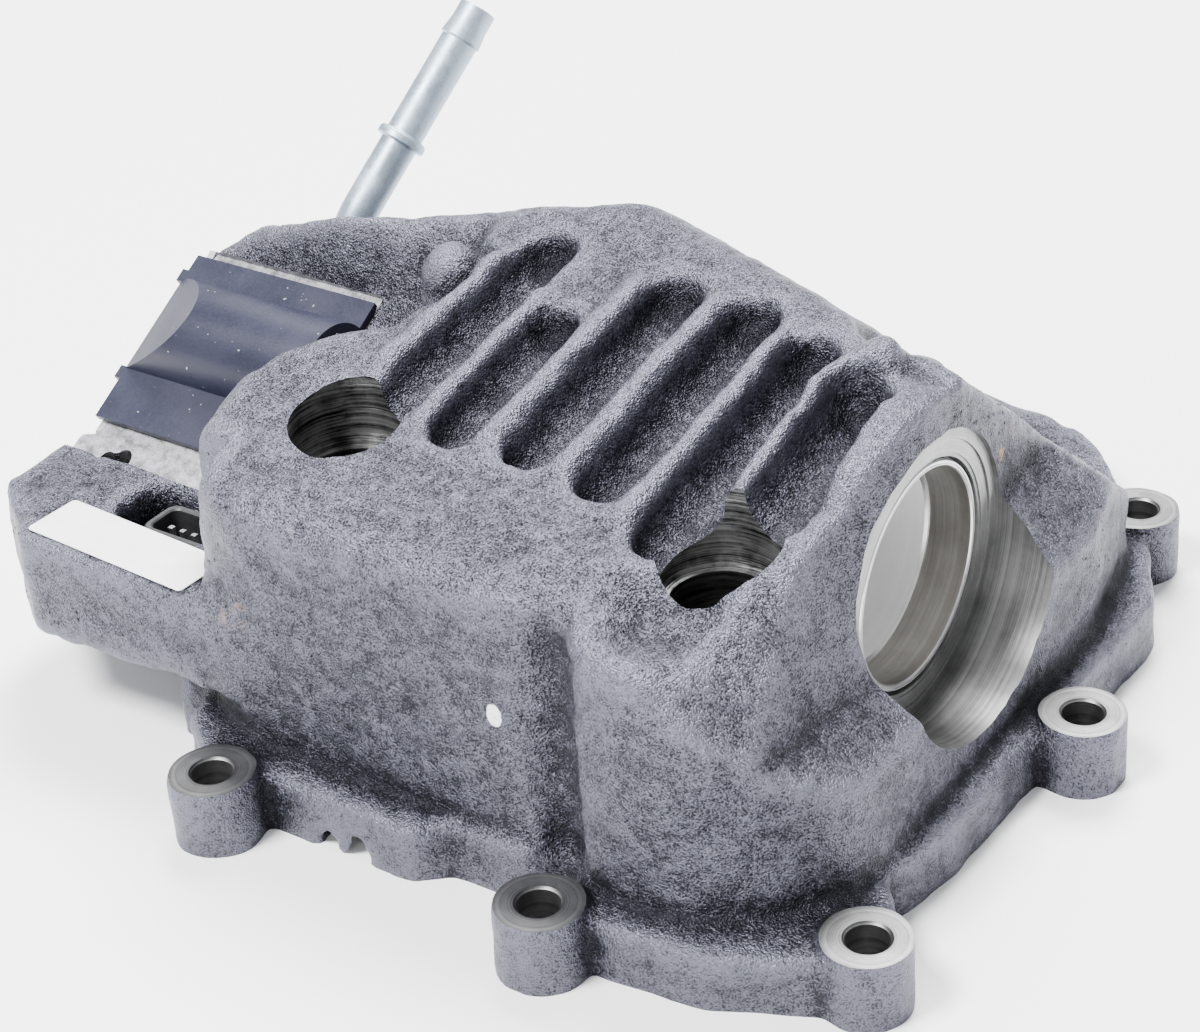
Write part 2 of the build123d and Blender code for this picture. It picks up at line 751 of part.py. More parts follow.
with BuildPart() as position_magnet:
    magnet_base = stem_radius + circlip_height + 0.8
    magnet_height = spring_room_radius - 0.6 - magnet_base
    magnet_plane = Plane(
        origin=(spring_plate_x, 0.0, axis_z), x_dir=(1, 0, 0),
        z_dir=(0, -sin(radians(pad_slope)), cos(radians(pad_slope))),
    )
    with BuildSketch(magnet_plane.offset(magnet_base)):
        with Locations((-magnet_depth / 2, 0.0)):
            Rectangle(magnet_depth, magnet_width)
    extrude(amount=magnet_height)

# Return spring, held between the plate and the end of its room
spring_start_x = spring_plate_x + spring_plate_thick + spring_wire / 2
spring_run = spring_wall_x - spring_wire / 2 - spring_start_x
spring_points = []
for step in range(spring_coils * spring_facets + 1):
    turned = 2 * pi * step / spring_facets
    spring_points.append((
        spring_start_x + spring_run * step / (spring_coils * spring_facets),
        spring_mean_radius * cos(turned),
        axis_z + spring_mean_radius * sin(turned),
    ))
with BuildPart() as return_spring:
    with BuildLine() as spring_line:
        Polyline(*spring_points)
    with BuildSketch(Plane(origin=spring_points[0], z_dir=Vector(*spring_points[1]) - Vector(*spring_points[0]))):
        RegularPolygon(spring_wire / 2, 8)
    sweep(path=spring_line.line, transition=Transition.RIGHT)

# Output gear pressed on the drive nut, which turns in its bush
nut_left_x = second_gear_x
with BuildPart() as output_gear:
    with BuildSketch(Plane.YZ.offset(second_gear_x)):
        with Locations(stem_centre):
            Polygon(*gear_outline(output_teeth, drive_module, idler_direction), align=None)
            Circle(journal_radius, mode=Mode.SUBTRACT)
    extrude(amount=second_face)

with BuildPart() as drive_nut:
    disc(stem_centre, journal_radius, nut_left_x, nut_end_x - nut_left_x)
    disc(stem_centre, collar_radius, second_gear_x + second_face, motor_x - 0.3 - second_gear_x - second_face)
    disc(stem_centre, stem_radius + running_gap, nut_left_x, nut_end_x - nut_left_x, mode=Mode.SUBTRACT)

with BuildPart() as drive_bush:
    disc(stem_centre, drive_bush_radius, motor_x, drive_bush_width)
    disc(stem_centre, journal_radius + running_gap, motor_x, drive_bush_width, mode=Mode.SUBTRACT)

with BuildPart() as nut_circlip:
    disc(stem_centre, journal_radius + circlip_height, spring_room_x + 0.2, circlip_thick)
    disc(stem_centre, journal_radius, spring_room_x + 0.2, circlip_thick, mode=Mode.SUBTRACT)
    with BuildSketch(Plane.YZ.offset(spring_room_x + 0.2)):
        with Locations((0.0, axis_z + journal_radius + circlip_height / 2)):
            Rectangle(4.0, circlip_height * 2)
    extrude(amount=circlip_thick, mode=Mode.SUBTRACT)

# Idler gear pair on its fixed axle
small_turn = idler_direction + 180 + 180 / idler_small_teeth
with BuildPart() as idler_gear:
    with BuildSketch(Plane.YZ.offset(first_gear_x)):
        with Locations(idler_centre):
            Polygon(*gear_outline(idler_big_teeth, motor_module, motor_direction), align=None)
    extrude(amount=first_face)
    with BuildSketch(Plane.YZ.offset(first_gear_x + first_face)):
        with Locations(idler_centre):
            Polygon(*gear_outline(idler_small_teeth, drive_module, small_turn), align=None)
    extrude(amount=second_gear_x + second_face - first_gear_x - first_face)
    disc(idler_centre, axle_radius + running_gap, first_gear_x, 40.0, mode=Mode.SUBTRACT)

with BuildPart() as idler_axle:
    disc(idler_centre, axle_radius, gear_room_x, gear_room_length + gear_plate_thick)

# Plate between the gears and the motor
with BuildPart() as gear_plate:
    with BuildSketch(Plane.YZ.offset(gear_plate_x)):
        with Locations(stem_centre, idler_centre, motor_centre):
            Circle(drive_room_radius)
        make_hull()
        with Locations(stem_centre):
            Circle(collar_radius + 0.5, mode=Mode.SUBTRACT)
        with Locations(idler_centre):
            Circle(axle_radius, mode=Mode.SUBTRACT)
        with Locations(motor_centre):
            Circle(small_bush_radius, mode=Mode.SUBTRACT)
    extrude(amount=gear_plate_thick)

# End plate over the gear room, and its four screws
plate_inset = 0.5
with BuildPart() as end_plate:
    with BuildSketch(Plane.YZ.offset(gear_room_x - end_plate_thick)):
        Polygon(
            (pad_front_y + plate_inset, block_bottom + plate_inset),
            (pad_front_y + plate_inset, pad_z(pad_front_y + plate_inset) - plate_inset),
            (pad_back_y, pad_z(pad_back_y) - plate_inset),
            (wing_crest_y[0], wing_crest[0] - 1.0), (wing_crest_y[0] + 7.0 - plate_inset, wing_crest[0] - 5.0),
            (wing_back_y[0] - plate_inset, wing_back_z), (wing_back_y[0] - plate_inset, block_bottom + plate_inset),
            align=None,
        )
        with Locations(*end_screws):
            Circle(end_screw_radius, mode=Mode.SUBTRACT)
    extrude(amount=end_plate_thick)

with BuildPart() as end_plate_screws:
    head_x = gear_room_x - end_plate_thick - end_screw_head_height
    for place in end_screws:
        disc(place, end_screw_head, head_x, end_screw_head_height)
        disc(place, end_screw_radius, head_x, end_screw_head_height + end_plate_thick + end_screw_depth - 0.5)
        with BuildSketch(Plane.YZ.offset(head_x)):
            with Locations(place):
                RegularPolygon(end_screw_radius, 6)
        extrude(amount=end_screw_head_height * 0.6, mode=Mode.SUBTRACT)

# Motor: can, magnets, end cap, brushes, rear bush
can_end_x = motor_x + motor_length
can_inner_radius = motor_radius - motor_wall
with BuildPart() as motor_can:
    disc(motor_centre, motor_radius, motor_x, motor_length)
    disc(motor_centre, can_inner_radius, motor_x, motor_length - motor_wall, mode=Mode.SUBTRACT)

rotor_radius = can_inner_radius - magnet_thick - rotor_gap
rotor_x = can_end_x - motor_wall - small_bush_length - 2.0 - rotor_length
with BuildPart() as motor_magnets:
    disc(motor_centre, can_inner_radius, rotor_x - 1.0, rotor_length + 2.0)
    disc(motor_centre, can_inner_radius - magnet_thick, rotor_x - 1.0, rotor_length + 2.0, mode=Mode.SUBTRACT)
    with BuildSketch(Plane.YZ.offset(rotor_x - 1.0)):
        with Locations(motor_centre):
            Rectangle(40.0, 7.0)
    extrude(amount=rotor_length + 2.0, mode=Mode.SUBTRACT)

with BuildPart() as motor_end_cap:
    disc(motor_centre, can_inner_radius, motor_x, cap_thick)
    disc(motor_centre, small_bush_radius, motor_x - gear_plate_thick / 2, cap_thick + gear_plate_thick / 2)
    disc(motor_centre, shaft_radius + running_gap, motor_x - gear_plate_thick, 20.0, mode=Mode.SUBTRACT)

commutator_x = motor_x + cap_thick + 0.8
with BuildPart() as motor_brushes:
    for side in (-1, 1):
        with BuildSketch(Plane.YZ.offset(motor_x + cap_thick)):
            with Locations((motor_centre[0] + side * (commutator_radius + 2.3), motor_centre[1])):
                Rectangle(4.0, 3.0)
        extrude(amount=commutator_length)

with BuildPart() as motor_bush:
    bush_x = can_end_x - motor_wall - small_bush_length
    disc(motor_centre, small_bush_radius, bush_x, small_bush_length)
    disc(motor_centre, shaft_radius + running_gap, bush_x, small_bush_length, mode=Mode.SUBTRACT)

# Rotor: shaft, core with winding slots, commutator and pinion
with BuildPart() as motor_shaft:
    disc(motor_centre, shaft_radius, first_gear_x - 0.4, can_end_x - motor_wall - 0.5 - first_gear_x + 0.4)

with BuildPart() as rotor_core:
    with BuildSketch(Plane.YZ.offset(rotor_x)):
        with Locations(motor_centre):
            Circle(rotor_radius)
            with PolarLocations(rotor_radius - 2.0, rotor_slots):
                Rectangle(5.0, 1.4, mode=Mode.SUBTRACT)
            with PolarLocations(rotor_radius - 3.4, rotor_slots):
                Circle(1.3, mode=Mode.SUBTRACT)
            Circle(shaft_radius, mode=Mode.SUBTRACT)
    extrude(amount=rotor_length)

with BuildPart() as commutator:
    disc(motor_centre, commutator_radius, commutator_x, commutator_length)
    disc(motor_centre, shaft_radius, commutator_x, commutator_length, mode=Mode.SUBTRACT)

pinion_turn = motor_direction + 180 + 180 / pinion_teeth
with BuildPart() as motor_pinion:
    with BuildSketch(Plane.YZ.offset(first_gear_x)):
        with Locations(motor_centre):
            Polygon(*gear_outline(pinion_teeth, motor_module, pinion_turn), align=None)
            Circle(shaft_radius, mode=Mode.SUBTRACT)
    extrude(amount=first_face)

# Cover over the drive with its long hump and slanted left end
slope = radians(pad_slope)
cover_length = cover_right_x - cover_left_x
facet_rise = (hump_radius - cover_flange) / facet_run
facet_direction = (-facet_rise, -sin(slope), cos(slope))


def facet_plane(drop):
    low_y, low_z = pad_point(hump_middle, cover_flange - drop)
    return Plane(origin=(cover_left_x, low_y, low_z), z_dir=facet_direction)


with BuildPart() as hump_core:
    with BuildSketch(Plane.YZ.offset(cover_left_x + hump_wall)):
        with Locations(pad_point(hump_middle, 0.0)):
            Circle(hump_radius - hump_wall)
    extrude(amount=cover_length - 2 * hump_wall)
    split(bisect_by=facet_plane(hump_wall), keep=Keep.BOTTOM)

with BuildPart() as actuator_cover:
    with BuildSketch(Plane.YZ.offset(cover_left_x)):
        with Locations(pad_point(hump_middle, 0.0)):
            Circle(hump_radius)
    extrude(amount=cover_length)
    split(bisect_by=facet_plane(0.0), keep=Keep.BOTTOM)
    with BuildSketch(Plane.YZ.offset(cover_left_x)):
        Polygon(
            pad_point(cover_front, 0.0), pad_point(cover_back, 0.0),
            pad_point(cover_back, cover_flange), pad_point(cover_front, cover_flange),
            align=None,
        )
    extrude(amount=cover_length)
    add(hump_core.part, mode=Mode.SUBTRACT)
    with BuildSketch(Plane.YZ.offset(cover_left_x)):
        Polygon(
            pad_point(cover_front - 1.0, gasket_thick), pad_point(cover_front - 1.0, -40.0),
            pad_point(cover_back + 1.0, -40.0), pad_point(cover_back + 1.0, gasket_thick),
            align=None,
        )
    extrude(amount=cover_length, mode=Mode.SUBTRACT)
    # Locating tabs on the outer end
    for tab_place in (cover_front + 11.0, cover_back - 8.0):
        with BuildSketch(Plane.YZ.offset(cover_left_x - tab_size / 2)):
            Polygon(
                pad_point(tab_place, gasket_thick), pad_point(tab_place + tab_size, gasket_thick),
                pad_point(tab_place + tab_size, cover_flange), pad_point(tab_place, cover_flange),
                align=None,
            )
        extrude(amount=tab_size)
    # Posts that hold the sensor board
    for post_x in (board_x - board_length / 2 + 1.0, board_x + board_length / 2 - 3.0):
        with BuildSketch(Plane.YZ.offset(post_x)):
            Polygon(
                pad_point(hump_middle - 3.0, board_height + board_thick),
                pad_point(hump_middle + 3.0, board_height + board_thick),
                pad_point(hump_middle + 3.0, hump_radius - hump_wall + 0.2),
                pad_point(hump_middle - 3.0, hump_radius - hump_wall + 0.2),
                align=None,
            )
        extrude(amount=2.0)

with BuildPart() as cover_gasket:
    with BuildSketch(Plane.YZ.offset(cover_left_x + 0.4)):
        Polygon(
            pad_point(cover_front + 0.4, 0.0), pad_point(cover_back - 0.4, 0.0),
            pad_point(cover_back - 0.4, gasket_thick), pad_point(cover_front + 0.4, gasket_thick),
            align=None,
        )
    extrude(amount=cover_length - 0.8)
    with BuildSketch(Plane.YZ.offset(gear_room_x + 2.0)):
        with Locations(pad_point(hump_middle, 0.0)):
            Circle(hump_radius - hump_wall)
    extrude(amount=cover_right_x - hump_wall - 1.0 - gear_room_x - 2.0, mode=Mode.SUBTRACT)

with BuildPart() as sensor_board:
    board_plane = Plane(
        origin=(board_x, *pad_point(hump_middle, board_height)), x_dir=(1, 0, 0),
        z_dir=(0, -sin(slope), cos(slope)),
    )
    with BuildSketch(board_plane):
        Rectangle(board_length, board_width)
    extrude(amount=board_thick)
    with BuildSketch(board_plane.offset(-1.2)):
        Rectangle(5.0, 5.0)
    extrude(amount=1.2)

# Coolant tube with a hose bead and a barb
with BuildPart() as coolant_tube:
    with BuildSketch(Plane(origin=tube_start, z_dir=tube_start_dir)):
        Circle(tube_radius)
    sweep(path=tube_line.line)
    with BuildSketch(Plane(origin=Vector(*tube_tip) - tube_dir * bead_from_tip, z_dir=tube_dir)):
        Circle(bead_radius)
    extrude(amount=2.4)
    fillet(coolant_tube.edges().filter_by(GeomType.CIRCLE).sort_by(SortBy.RADIUS)[-2:], 1.1)
    with BuildSketch(Plane(origin=Vector(*tube_tip) - tube_dir * barb_from_tip, z_dir=tube_dir)):
        Circle(barb_radius)
    with BuildSketch(Plane(origin=tube_tip, z_dir=tube_dir)):
        Circle(tip_radius + 0.2)
    loft()
    with BuildSketch(Plane(origin=tube_start, z_dir=tube_start_dir)):
        Circle(tube_bore_radius)
    sweep(path=tube_line.line, mode=Mode.SUBTRACT)

# Electrical plug in the arm pocket
plug_x = plug_pocket_x + plug_offset
with BuildPart() as connector_shell:
    with BuildSketch(Plane.XY.offset(plug_pocket_floor)):
        with Locations((plug_x, plug_pocket_y)):
            RectangleRounded(plug_length, plug_width, 3.0)
    extrude(amount=plug_height)
    with BuildSketch(Plane.XY.offset(plug_pocket_floor + plug_floor)):
        with Locations((plug_x, plug_pocket_y)):
            RectangleRounded(plug_length - 2 * plug_wall, plug_width - 2 * plug_wall, 2.0)
    extrude(amount=plug_height, mode=Mode.SUBTRACT)

with BuildPart() as connector_pins:
    with BuildSketch(Plane.XY.offset(plug_pocket_floor + plug_floor)):
        with Locations((plug_x, plug_pocket_y)):
            with GridLocations(pin_pitch, pin_pitch, pin_count, 1):
                Rectangle(pin_side, pin_side)
    extrude(amount=pin_height)

# Blank label on the arm
with BuildPart() as blank_label:
    with BuildSketch(Plane.XY.offset(arm_top)):
        with Locations(Location((label_centre[0], label_centre[1], 0.0), (0.0, 0.0, label_turn))):
            RectangleRounded(label_size[0], label_size[1], label_corner)
        with Locations(pocket_a):
            Circle(lobe_a_radius + 0.3, mode=Mode.SUBTRACT)
    extrude(amount=label_thick)

pieces = {
    "valve_housing": valve_housing,
    "ribbed_roof": ribbed_roof,
    "mounting_flange": mounting_flange,
    "flange_lugs": flange_lugs,
    "left_pocket_foot": left_pocket_foot,
    "left_pocket_wall": left_pocket_wall,
    "right_pocket_foot": right_pocket_foot,
    "right_pocket_wall": right_pocket_wall,
    "port_boss": port_boss,
    "drive_casing": drive_casing,
    "drive_arm": drive_arm,
    "port_sleeve": port_sleeve,
    "seat_port_side": seat_port_side,
    "seat_far_side": seat_far_side,
    "poppet_port_side": poppet_port_side,
    "poppet_far_side": poppet_far_side,
    "valve_stem": valve_stem,
    "stem_bush": stem_bush,
    "stem_seal": stem_seal,
    "spring_plate": spring_plate,
    "stem_circlip": stem_circlip,
    "position_magnet": position_magnet,
    "return_spring": return_spring,
    "output_gear": output_gear,
    "drive_nut": drive_nut,
    "drive_bush": drive_bush,
    "nut_circlip": nut_circlip,
    "idler_gear": idler_gear,
    "idler_axle": idler_axle,
    "gear_plate": gear_plate,
    "end_plate": end_plate,
    "end_plate_screws": end_plate_screws,
    "motor_can": motor_can,
    "motor_magnets": motor_magnets,
    "motor_end_cap": motor_end_cap,
    "motor_brushes": motor_brushes,
    "motor_bush": motor_bush,
    "motor_shaft": motor_shaft,
    "rotor_core": rotor_core,
    "commutator": commutator,
    "motor_pinion": motor_pinion,
    "actuator_cover": actuator_cover,
    "cover_gasket": cover_gasket,
    "sensor_board": sensor_board,
    "coolant_tube": coolant_tube,
    "connector_shell": connector_shell,
    "connector_pins": connector_pins,
    "blank_label": blank_label,
}
for name, piece in pieces.items():
    piece.part.label = name
    export_step(piece.part, f"parts/{name}.step")
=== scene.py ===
import math

import bmesh
import bpy
import numpy as np
import openvdb
from mathutils import Matrix, Vector


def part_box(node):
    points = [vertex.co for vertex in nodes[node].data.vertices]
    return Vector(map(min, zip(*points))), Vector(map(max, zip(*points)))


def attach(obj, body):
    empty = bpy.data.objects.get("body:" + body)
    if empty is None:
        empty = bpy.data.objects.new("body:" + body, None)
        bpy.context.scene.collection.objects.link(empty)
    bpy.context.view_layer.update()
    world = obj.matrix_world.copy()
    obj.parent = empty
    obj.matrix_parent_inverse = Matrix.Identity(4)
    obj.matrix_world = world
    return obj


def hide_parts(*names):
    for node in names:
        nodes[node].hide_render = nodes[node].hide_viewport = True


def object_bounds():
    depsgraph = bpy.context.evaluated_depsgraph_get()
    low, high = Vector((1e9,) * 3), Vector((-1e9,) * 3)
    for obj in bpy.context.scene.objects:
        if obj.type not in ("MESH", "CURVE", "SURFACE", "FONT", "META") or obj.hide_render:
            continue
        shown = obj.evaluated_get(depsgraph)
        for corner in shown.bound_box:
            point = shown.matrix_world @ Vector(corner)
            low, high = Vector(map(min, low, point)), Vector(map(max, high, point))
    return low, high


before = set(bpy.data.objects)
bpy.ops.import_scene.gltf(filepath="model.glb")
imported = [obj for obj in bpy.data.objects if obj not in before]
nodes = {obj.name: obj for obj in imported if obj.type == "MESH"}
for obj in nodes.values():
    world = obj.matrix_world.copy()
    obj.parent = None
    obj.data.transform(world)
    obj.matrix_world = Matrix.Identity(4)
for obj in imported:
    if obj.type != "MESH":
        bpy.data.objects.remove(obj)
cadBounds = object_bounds()
mm = 0.001
axisHeight = 52.0                         # mm: the port's and the valve's axis above the mounting face
weld = 0.000002                           # m: points of a CAD mesh that are nearer than this are one

# the camera comes first: it stands where the photograph was taken from
cameraSet = {
    "place": (286.8, -420.7, 357.9),      # mm
    "target": (-45.0, 36.0, 16.0),
    "roll": 3.7,                          # degrees
    "lens": 82.3,                         # mm, and the sensor's width
    "sensor": 36.0,
    "clip": (0.01, 20.0),                 # m
}


def makeCamera(settings):
    data = bpy.data.cameras.new("photoCamera")
    data.lens = settings["lens"]
    data.sensor_width = settings["sensor"]
    data.sensor_fit = "HORIZONTAL"
    data.clip_start, data.clip_end = settings["clip"]
    camera = bpy.data.objects.new("photoCamera", data)
    bpy.context.scene.collection.objects.link(camera)
    place = Vector(settings["place"]) * mm
    back = (place - Vector(settings["target"]) * mm).normalized()
    right = Vector((0, 0, 1)).cross(back).normalized()
    up = back.cross(right)
    turn = Matrix((right, up, back)).transposed().to_4x4()
    roll = Matrix.Rotation(-math.radians(settings["roll"]), 4, "Z")
    camera.matrix_world = Matrix.Translation(place) @ turn @ roll
    bpy.context.scene.camera = camera


makeCamera(cameraSet)
print("camera set")


# shader maths: a Wire is one output socket, and expressions on it add Math nodes
class Wire:
    def __init__(self, tree, socket):
        self.tree = tree
        self.socket = socket

    def node(self, kind, settings=None, values=None, output=0):
        made = self.tree.nodes.new(kind)
        for key, value in (settings or {}).items():
            if key == "stops":
                ramp = made.color_ramp
                while len(ramp.elements) < len(value):
                    ramp.elements.new(0.5)
                for element, (place, colour) in zip(ramp.elements, value):
                    element.position = place
                    element.color = colour
            else:
                setattr(made, key, value)
        for key, value in (values or {}).items():
            if isinstance(value, Wire):
                self.tree.links.new(value.socket, made.inputs[key])
            else:
                made.inputs[key].default_value = value
        return Wire(self.tree, made.outputs[output])

    def math(self, operation, *others):
        values = dict(enumerate((self,) + others))
        return self.node("ShaderNodeMath", {"operation": operation}, values)

    def __add__(self, other):
        return self.math("ADD", other)

    def __rsub__(self, other):
        return self.node("ShaderNodeMath", {"operation": "SUBTRACT"}, {0: other, 1: self})

    def __mul__(self, other):
        return self.math("MULTIPLY", other)

    def steps(self, low, high):
        return self.node("ShaderNodeMapRange", {"interpolation_type": "SMOOTHSTEP"},
                         {"Value": self, "From Min": low, "From Max": high})

    def noise(self, scale, detail=3.0, rough=0.5):
        return self.node("ShaderNodeTexNoise", {}, {"Vector": self, "Scale": scale, "Detail": detail,
                                                    "Roughness": rough})

    def tint(self, low, high):
        return self.node("ShaderNodeMix", {"data_type": "RGBA"}, {"Factor": self, 6: low, 7: high}, output=2)

    def bump(self, strength, distance):
        return self.node("ShaderNodeBump", {}, {"Height": self, "Strength": strength, "Distance": distance})


def startMaterial(name):
    material = bpy.data.materials.new(name)
    material.use_nodes = True
    tree = material.node_tree
    tree.nodes.clear()
    output = tree.nodes.new("ShaderNodeOutputMaterial")
    shader = tree.nodes.new("ShaderNodeBsdfPrincipled")
    tree.links.new(shader.outputs[0], output.inputs[0])
    coords = tree.nodes.new("ShaderNodeTexCoord")
    return material, shader, Wire(tree, coords.outputs["Object"])


def plug(shader, values):
    for key, value in values.items():
        if isinstance(value, Wire):
            value.tree.links.new(value.socket, shader.inputs[key])
        else:
            shader.inputs[key].default_value = value


def grey(value, blue=0.0):
    return (value * (1 - blue * 0.4), value * (1 - blue * 0.5), value * (1 + blue), 1.0)


# cast iron: shot-blasted sand skin with fine grains, a few rust specks and one dab of white paint, with
# painted highlight on the crests and painted shade in the hollows
castSet = {
    "dark": (0.013, 0.013, 0.018, 1.0),
    "light": (0.128, 0.129, 0.163, 1.0),
    "grain": {"scale": 2300.0, "share": 0.66, "height": 0.75},
    "lumps": {"scale": 520.0, "share": 0.26, "height": 0.75},
    "clouds": {"scale": 30.0, "share": 0.08},
    # strength of the painted highlight on crests and painted shade in hollows
    "paintedCrestLight": 0.24,
    "contrast": (0.36, 0.66),
    "relief": 0.00080,                    # m
    "roughness": (0.26, 0.56),
    "metallic": 0.80,
    "paint": {"place": (5.9, -74.5, 43.4), "reach": (2.0, 6.0, 2.9)},      # mm
    "paintColour": (0.86, 0.87, 0.90, 1.0),
    "rust": ((63.9, -76.8, 44.0), (62.0, 38.0, 67.7), (62.0, 33.0, 63.9)),
    "rustReach": (2.4, 2.4, 2.4),
    "rustCloud": {"scale": 24.0, "range": (0.72, 0.80), "share": 0.6},
    "rustGrain": {"scale": 520.0, "range": (0.50, 0.62), "share": 0.8},
    "rustColour": (0.32, 0.15, 0.05, 1.0),
}

spotEdge = {"scale": 900.0, "waver": 0.5, "range": (1.05, 1.25)}


# 1 inside a ball stretched to the reaches, 0 outside, with a ragged edge
def spotMask(place, centre, reach):
    moved = place.node("ShaderNodeMapping", {}, {
        "Vector": place, "Location": tuple(-c / r for c, r in zip(centre, reach)),
        "Scale": tuple(1.0 / (r * mm) for r in reach)})
    away = moved.node("ShaderNodeVectorMath", {"operation": "LENGTH"}, {0: moved}, output=1)
    ragged = away + place.noise(spotEdge["scale"], 2.0) * spotEdge["waver"]
    return 1.0 - ragged.steps(*spotEdge["range"])


def makeCastIron(settings):
    material, shader, place = startMaterial("castIron")
    grainSet, lumpSet, cloudSet = settings["grain"], settings["lumps"], settings["clouds"]
    grain = place.noise(grainSet["scale"], 1.0, 0.5)
    lumps = place.noise(lumpSet["scale"], 2.0, 0.5)
    clouds = place.noise(cloudSet["scale"], 3.0, 0.5)
    # crest attribute: painted highlight where the skin stands out, painted shade where it sinks in
    crest = place.node("ShaderNodeAttribute", {"attribute_name": "crest"}, {}, output=2)
    tone = grain * grainSet["share"] + lumps * lumpSet["share"] + clouds * cloudSet["share"]
    tone = tone + crest * settings["paintedCrestLight"]
    colour = tone.steps(*settings["contrast"]).tint(settings["dark"], settings["light"])
    rustCloud, rustGrain = settings["rustCloud"], settings["rustGrain"]
    rust = place.noise(rustCloud["scale"], 2.0).steps(*rustCloud["range"]) * rustCloud["share"]
    for spot in settings["rust"]:
        rust = rust + spotMask(place, spot, settings["rustReach"])
    rust = rust * place.noise(rustGrain["scale"], 3.0).steps(*rustGrain["range"]) * rustGrain["share"]
    colour = rust.tint(colour, settings["rustColour"])
    paint = spotMask(place, settings["paint"]["place"], settings["paint"]["reach"])
    colour = paint.tint(colour, settings["paintColour"])
    low, high = settings["roughness"]
    height = lumps * lumpSet["height"] + grain * grainSet["height"]
    plug(shader, {
        "Base Color": colour, "Roughness": grain * (high - low) + low,
        "Metallic": (1.0 - rust) * (1.0 - paint) * settings["metallic"],
        "Normal": height.bump(1.0, settings["relief"]),
    })
    return material


# machined metal: irregular tool marks round one axis, or round the nearest of several
markSet = {
    "wanderScale": 45.0, "coarseScale": 0.16, "stainScale": 130.0,
    "markShare": 0.45, "coarseShare": 0.30, "stainShare": 0.25,
    "markRough": 0.22, "stainRough": 0.12,
    "markHeight": 0.6, "coarseHeight": 0.6, "relief": 0.00014,             # m
    "contrast": (0.36, 0.66), "metallic": 1.0,
}


def makeMachined(name, settings):
    settings = {**markSet, **settings}
    material, shader, place = startMaterial(name)
    radius, along = None, None
    for centre in settings["centres"]:
        moved = place.node("ShaderNodeVectorMath", {"operation": "SUBTRACT"},
                           {0: place, 1: tuple(v * mm for v in centre)})
        parts = [moved.node("ShaderNodeSeparateXYZ", {}, {0: moved}, output=i) for i in range(3)]
        along = parts.pop("XYZ".index(settings["axis"]))
        away = (parts[0] * parts[0] + parts[1] * parts[1]).math("SQRT")
        radius = away if radius is None else radius.math("MINIMUM", away)
    wander = place.noise(settings["wanderScale"], 2.0) * settings["wander"]
    track = place.node("ShaderNodeCombineXYZ", {}, {0: radius * settings["pitch"] + wander,
                                                    1: along * settings["pitch"] + wander})
    marks = track.noise(1.0, 4.0, 0.7)
    coarse = track.noise(settings["coarseScale"], 2.0, 0.5)
    stain = place.noise(settings["stainScale"], 5.0, 0.65)
    tone = marks * settings["markShare"] + coarse * settings["coarseShare"] + stain * settings["stainShare"]
    rough = marks * settings["markRough"] + stain * settings["stainRough"] + settings["roughness"]
    height = marks * settings["markHeight"] + coarse * settings["coarseHeight"]
    plug(shader, {
        "Base Color": tone.steps(*settings["contrast"]).tint(settings["dark"], settings["light"]),
        "Roughness": rough, "Metallic": settings["metallic"],
        "Normal": height.bump(settings["bump"], settings["relief"]),
    })
    return material


# drawn, plated and stamped metal, and all moulded plastics: what a finish doesn't say itself
plainSet = {
    "broad": 70.0, "fine": 900.0, "broadShare": 0.6, "fineShare": 0.4, "contrast": (0.3, 0.7),
    "fineHeight": 0.7, "broadHeight": 0.3, "bump": 0.2, "height": 0.0001,  # m
    "metallic": 0.0, "gloss": 0.5,
}


def makePlain(name, settings):
    settings = {**plainSet, **settings}
    material, shader, place = startMaterial(name)
    broad = place.noise(settings["broad"], 4.0, 0.55)
    fine = place.noise(settings["fine"], 3.0, 0.6)
    tone = (broad * settings["broadShare"] + fine * settings["fineShare"]).steps(*settings["contrast"])
    colour = tone.tint(settings["dark"], settings["light"])
    specks = settings.get("specks")
    if specks:
        dust = place.noise(specks["scale"], 2.0).steps(specks["from"], specks["from"] + 0.05)
        colour = (dust * specks["share"]).tint(colour, specks["colour"])
    low, high = settings["roughness"]
    height = fine * settings["fineHeight"] + broad * settings["broadHeight"]
    plug(shader, {
        "Base Color": colour, "Roughness": tone * (high - low) + low,
        "Metallic": settings["metallic"], "Specular IOR Level": settings["gloss"],
        "Normal": height.bump(settings["bump"], settings["height"]),
    })
    return material


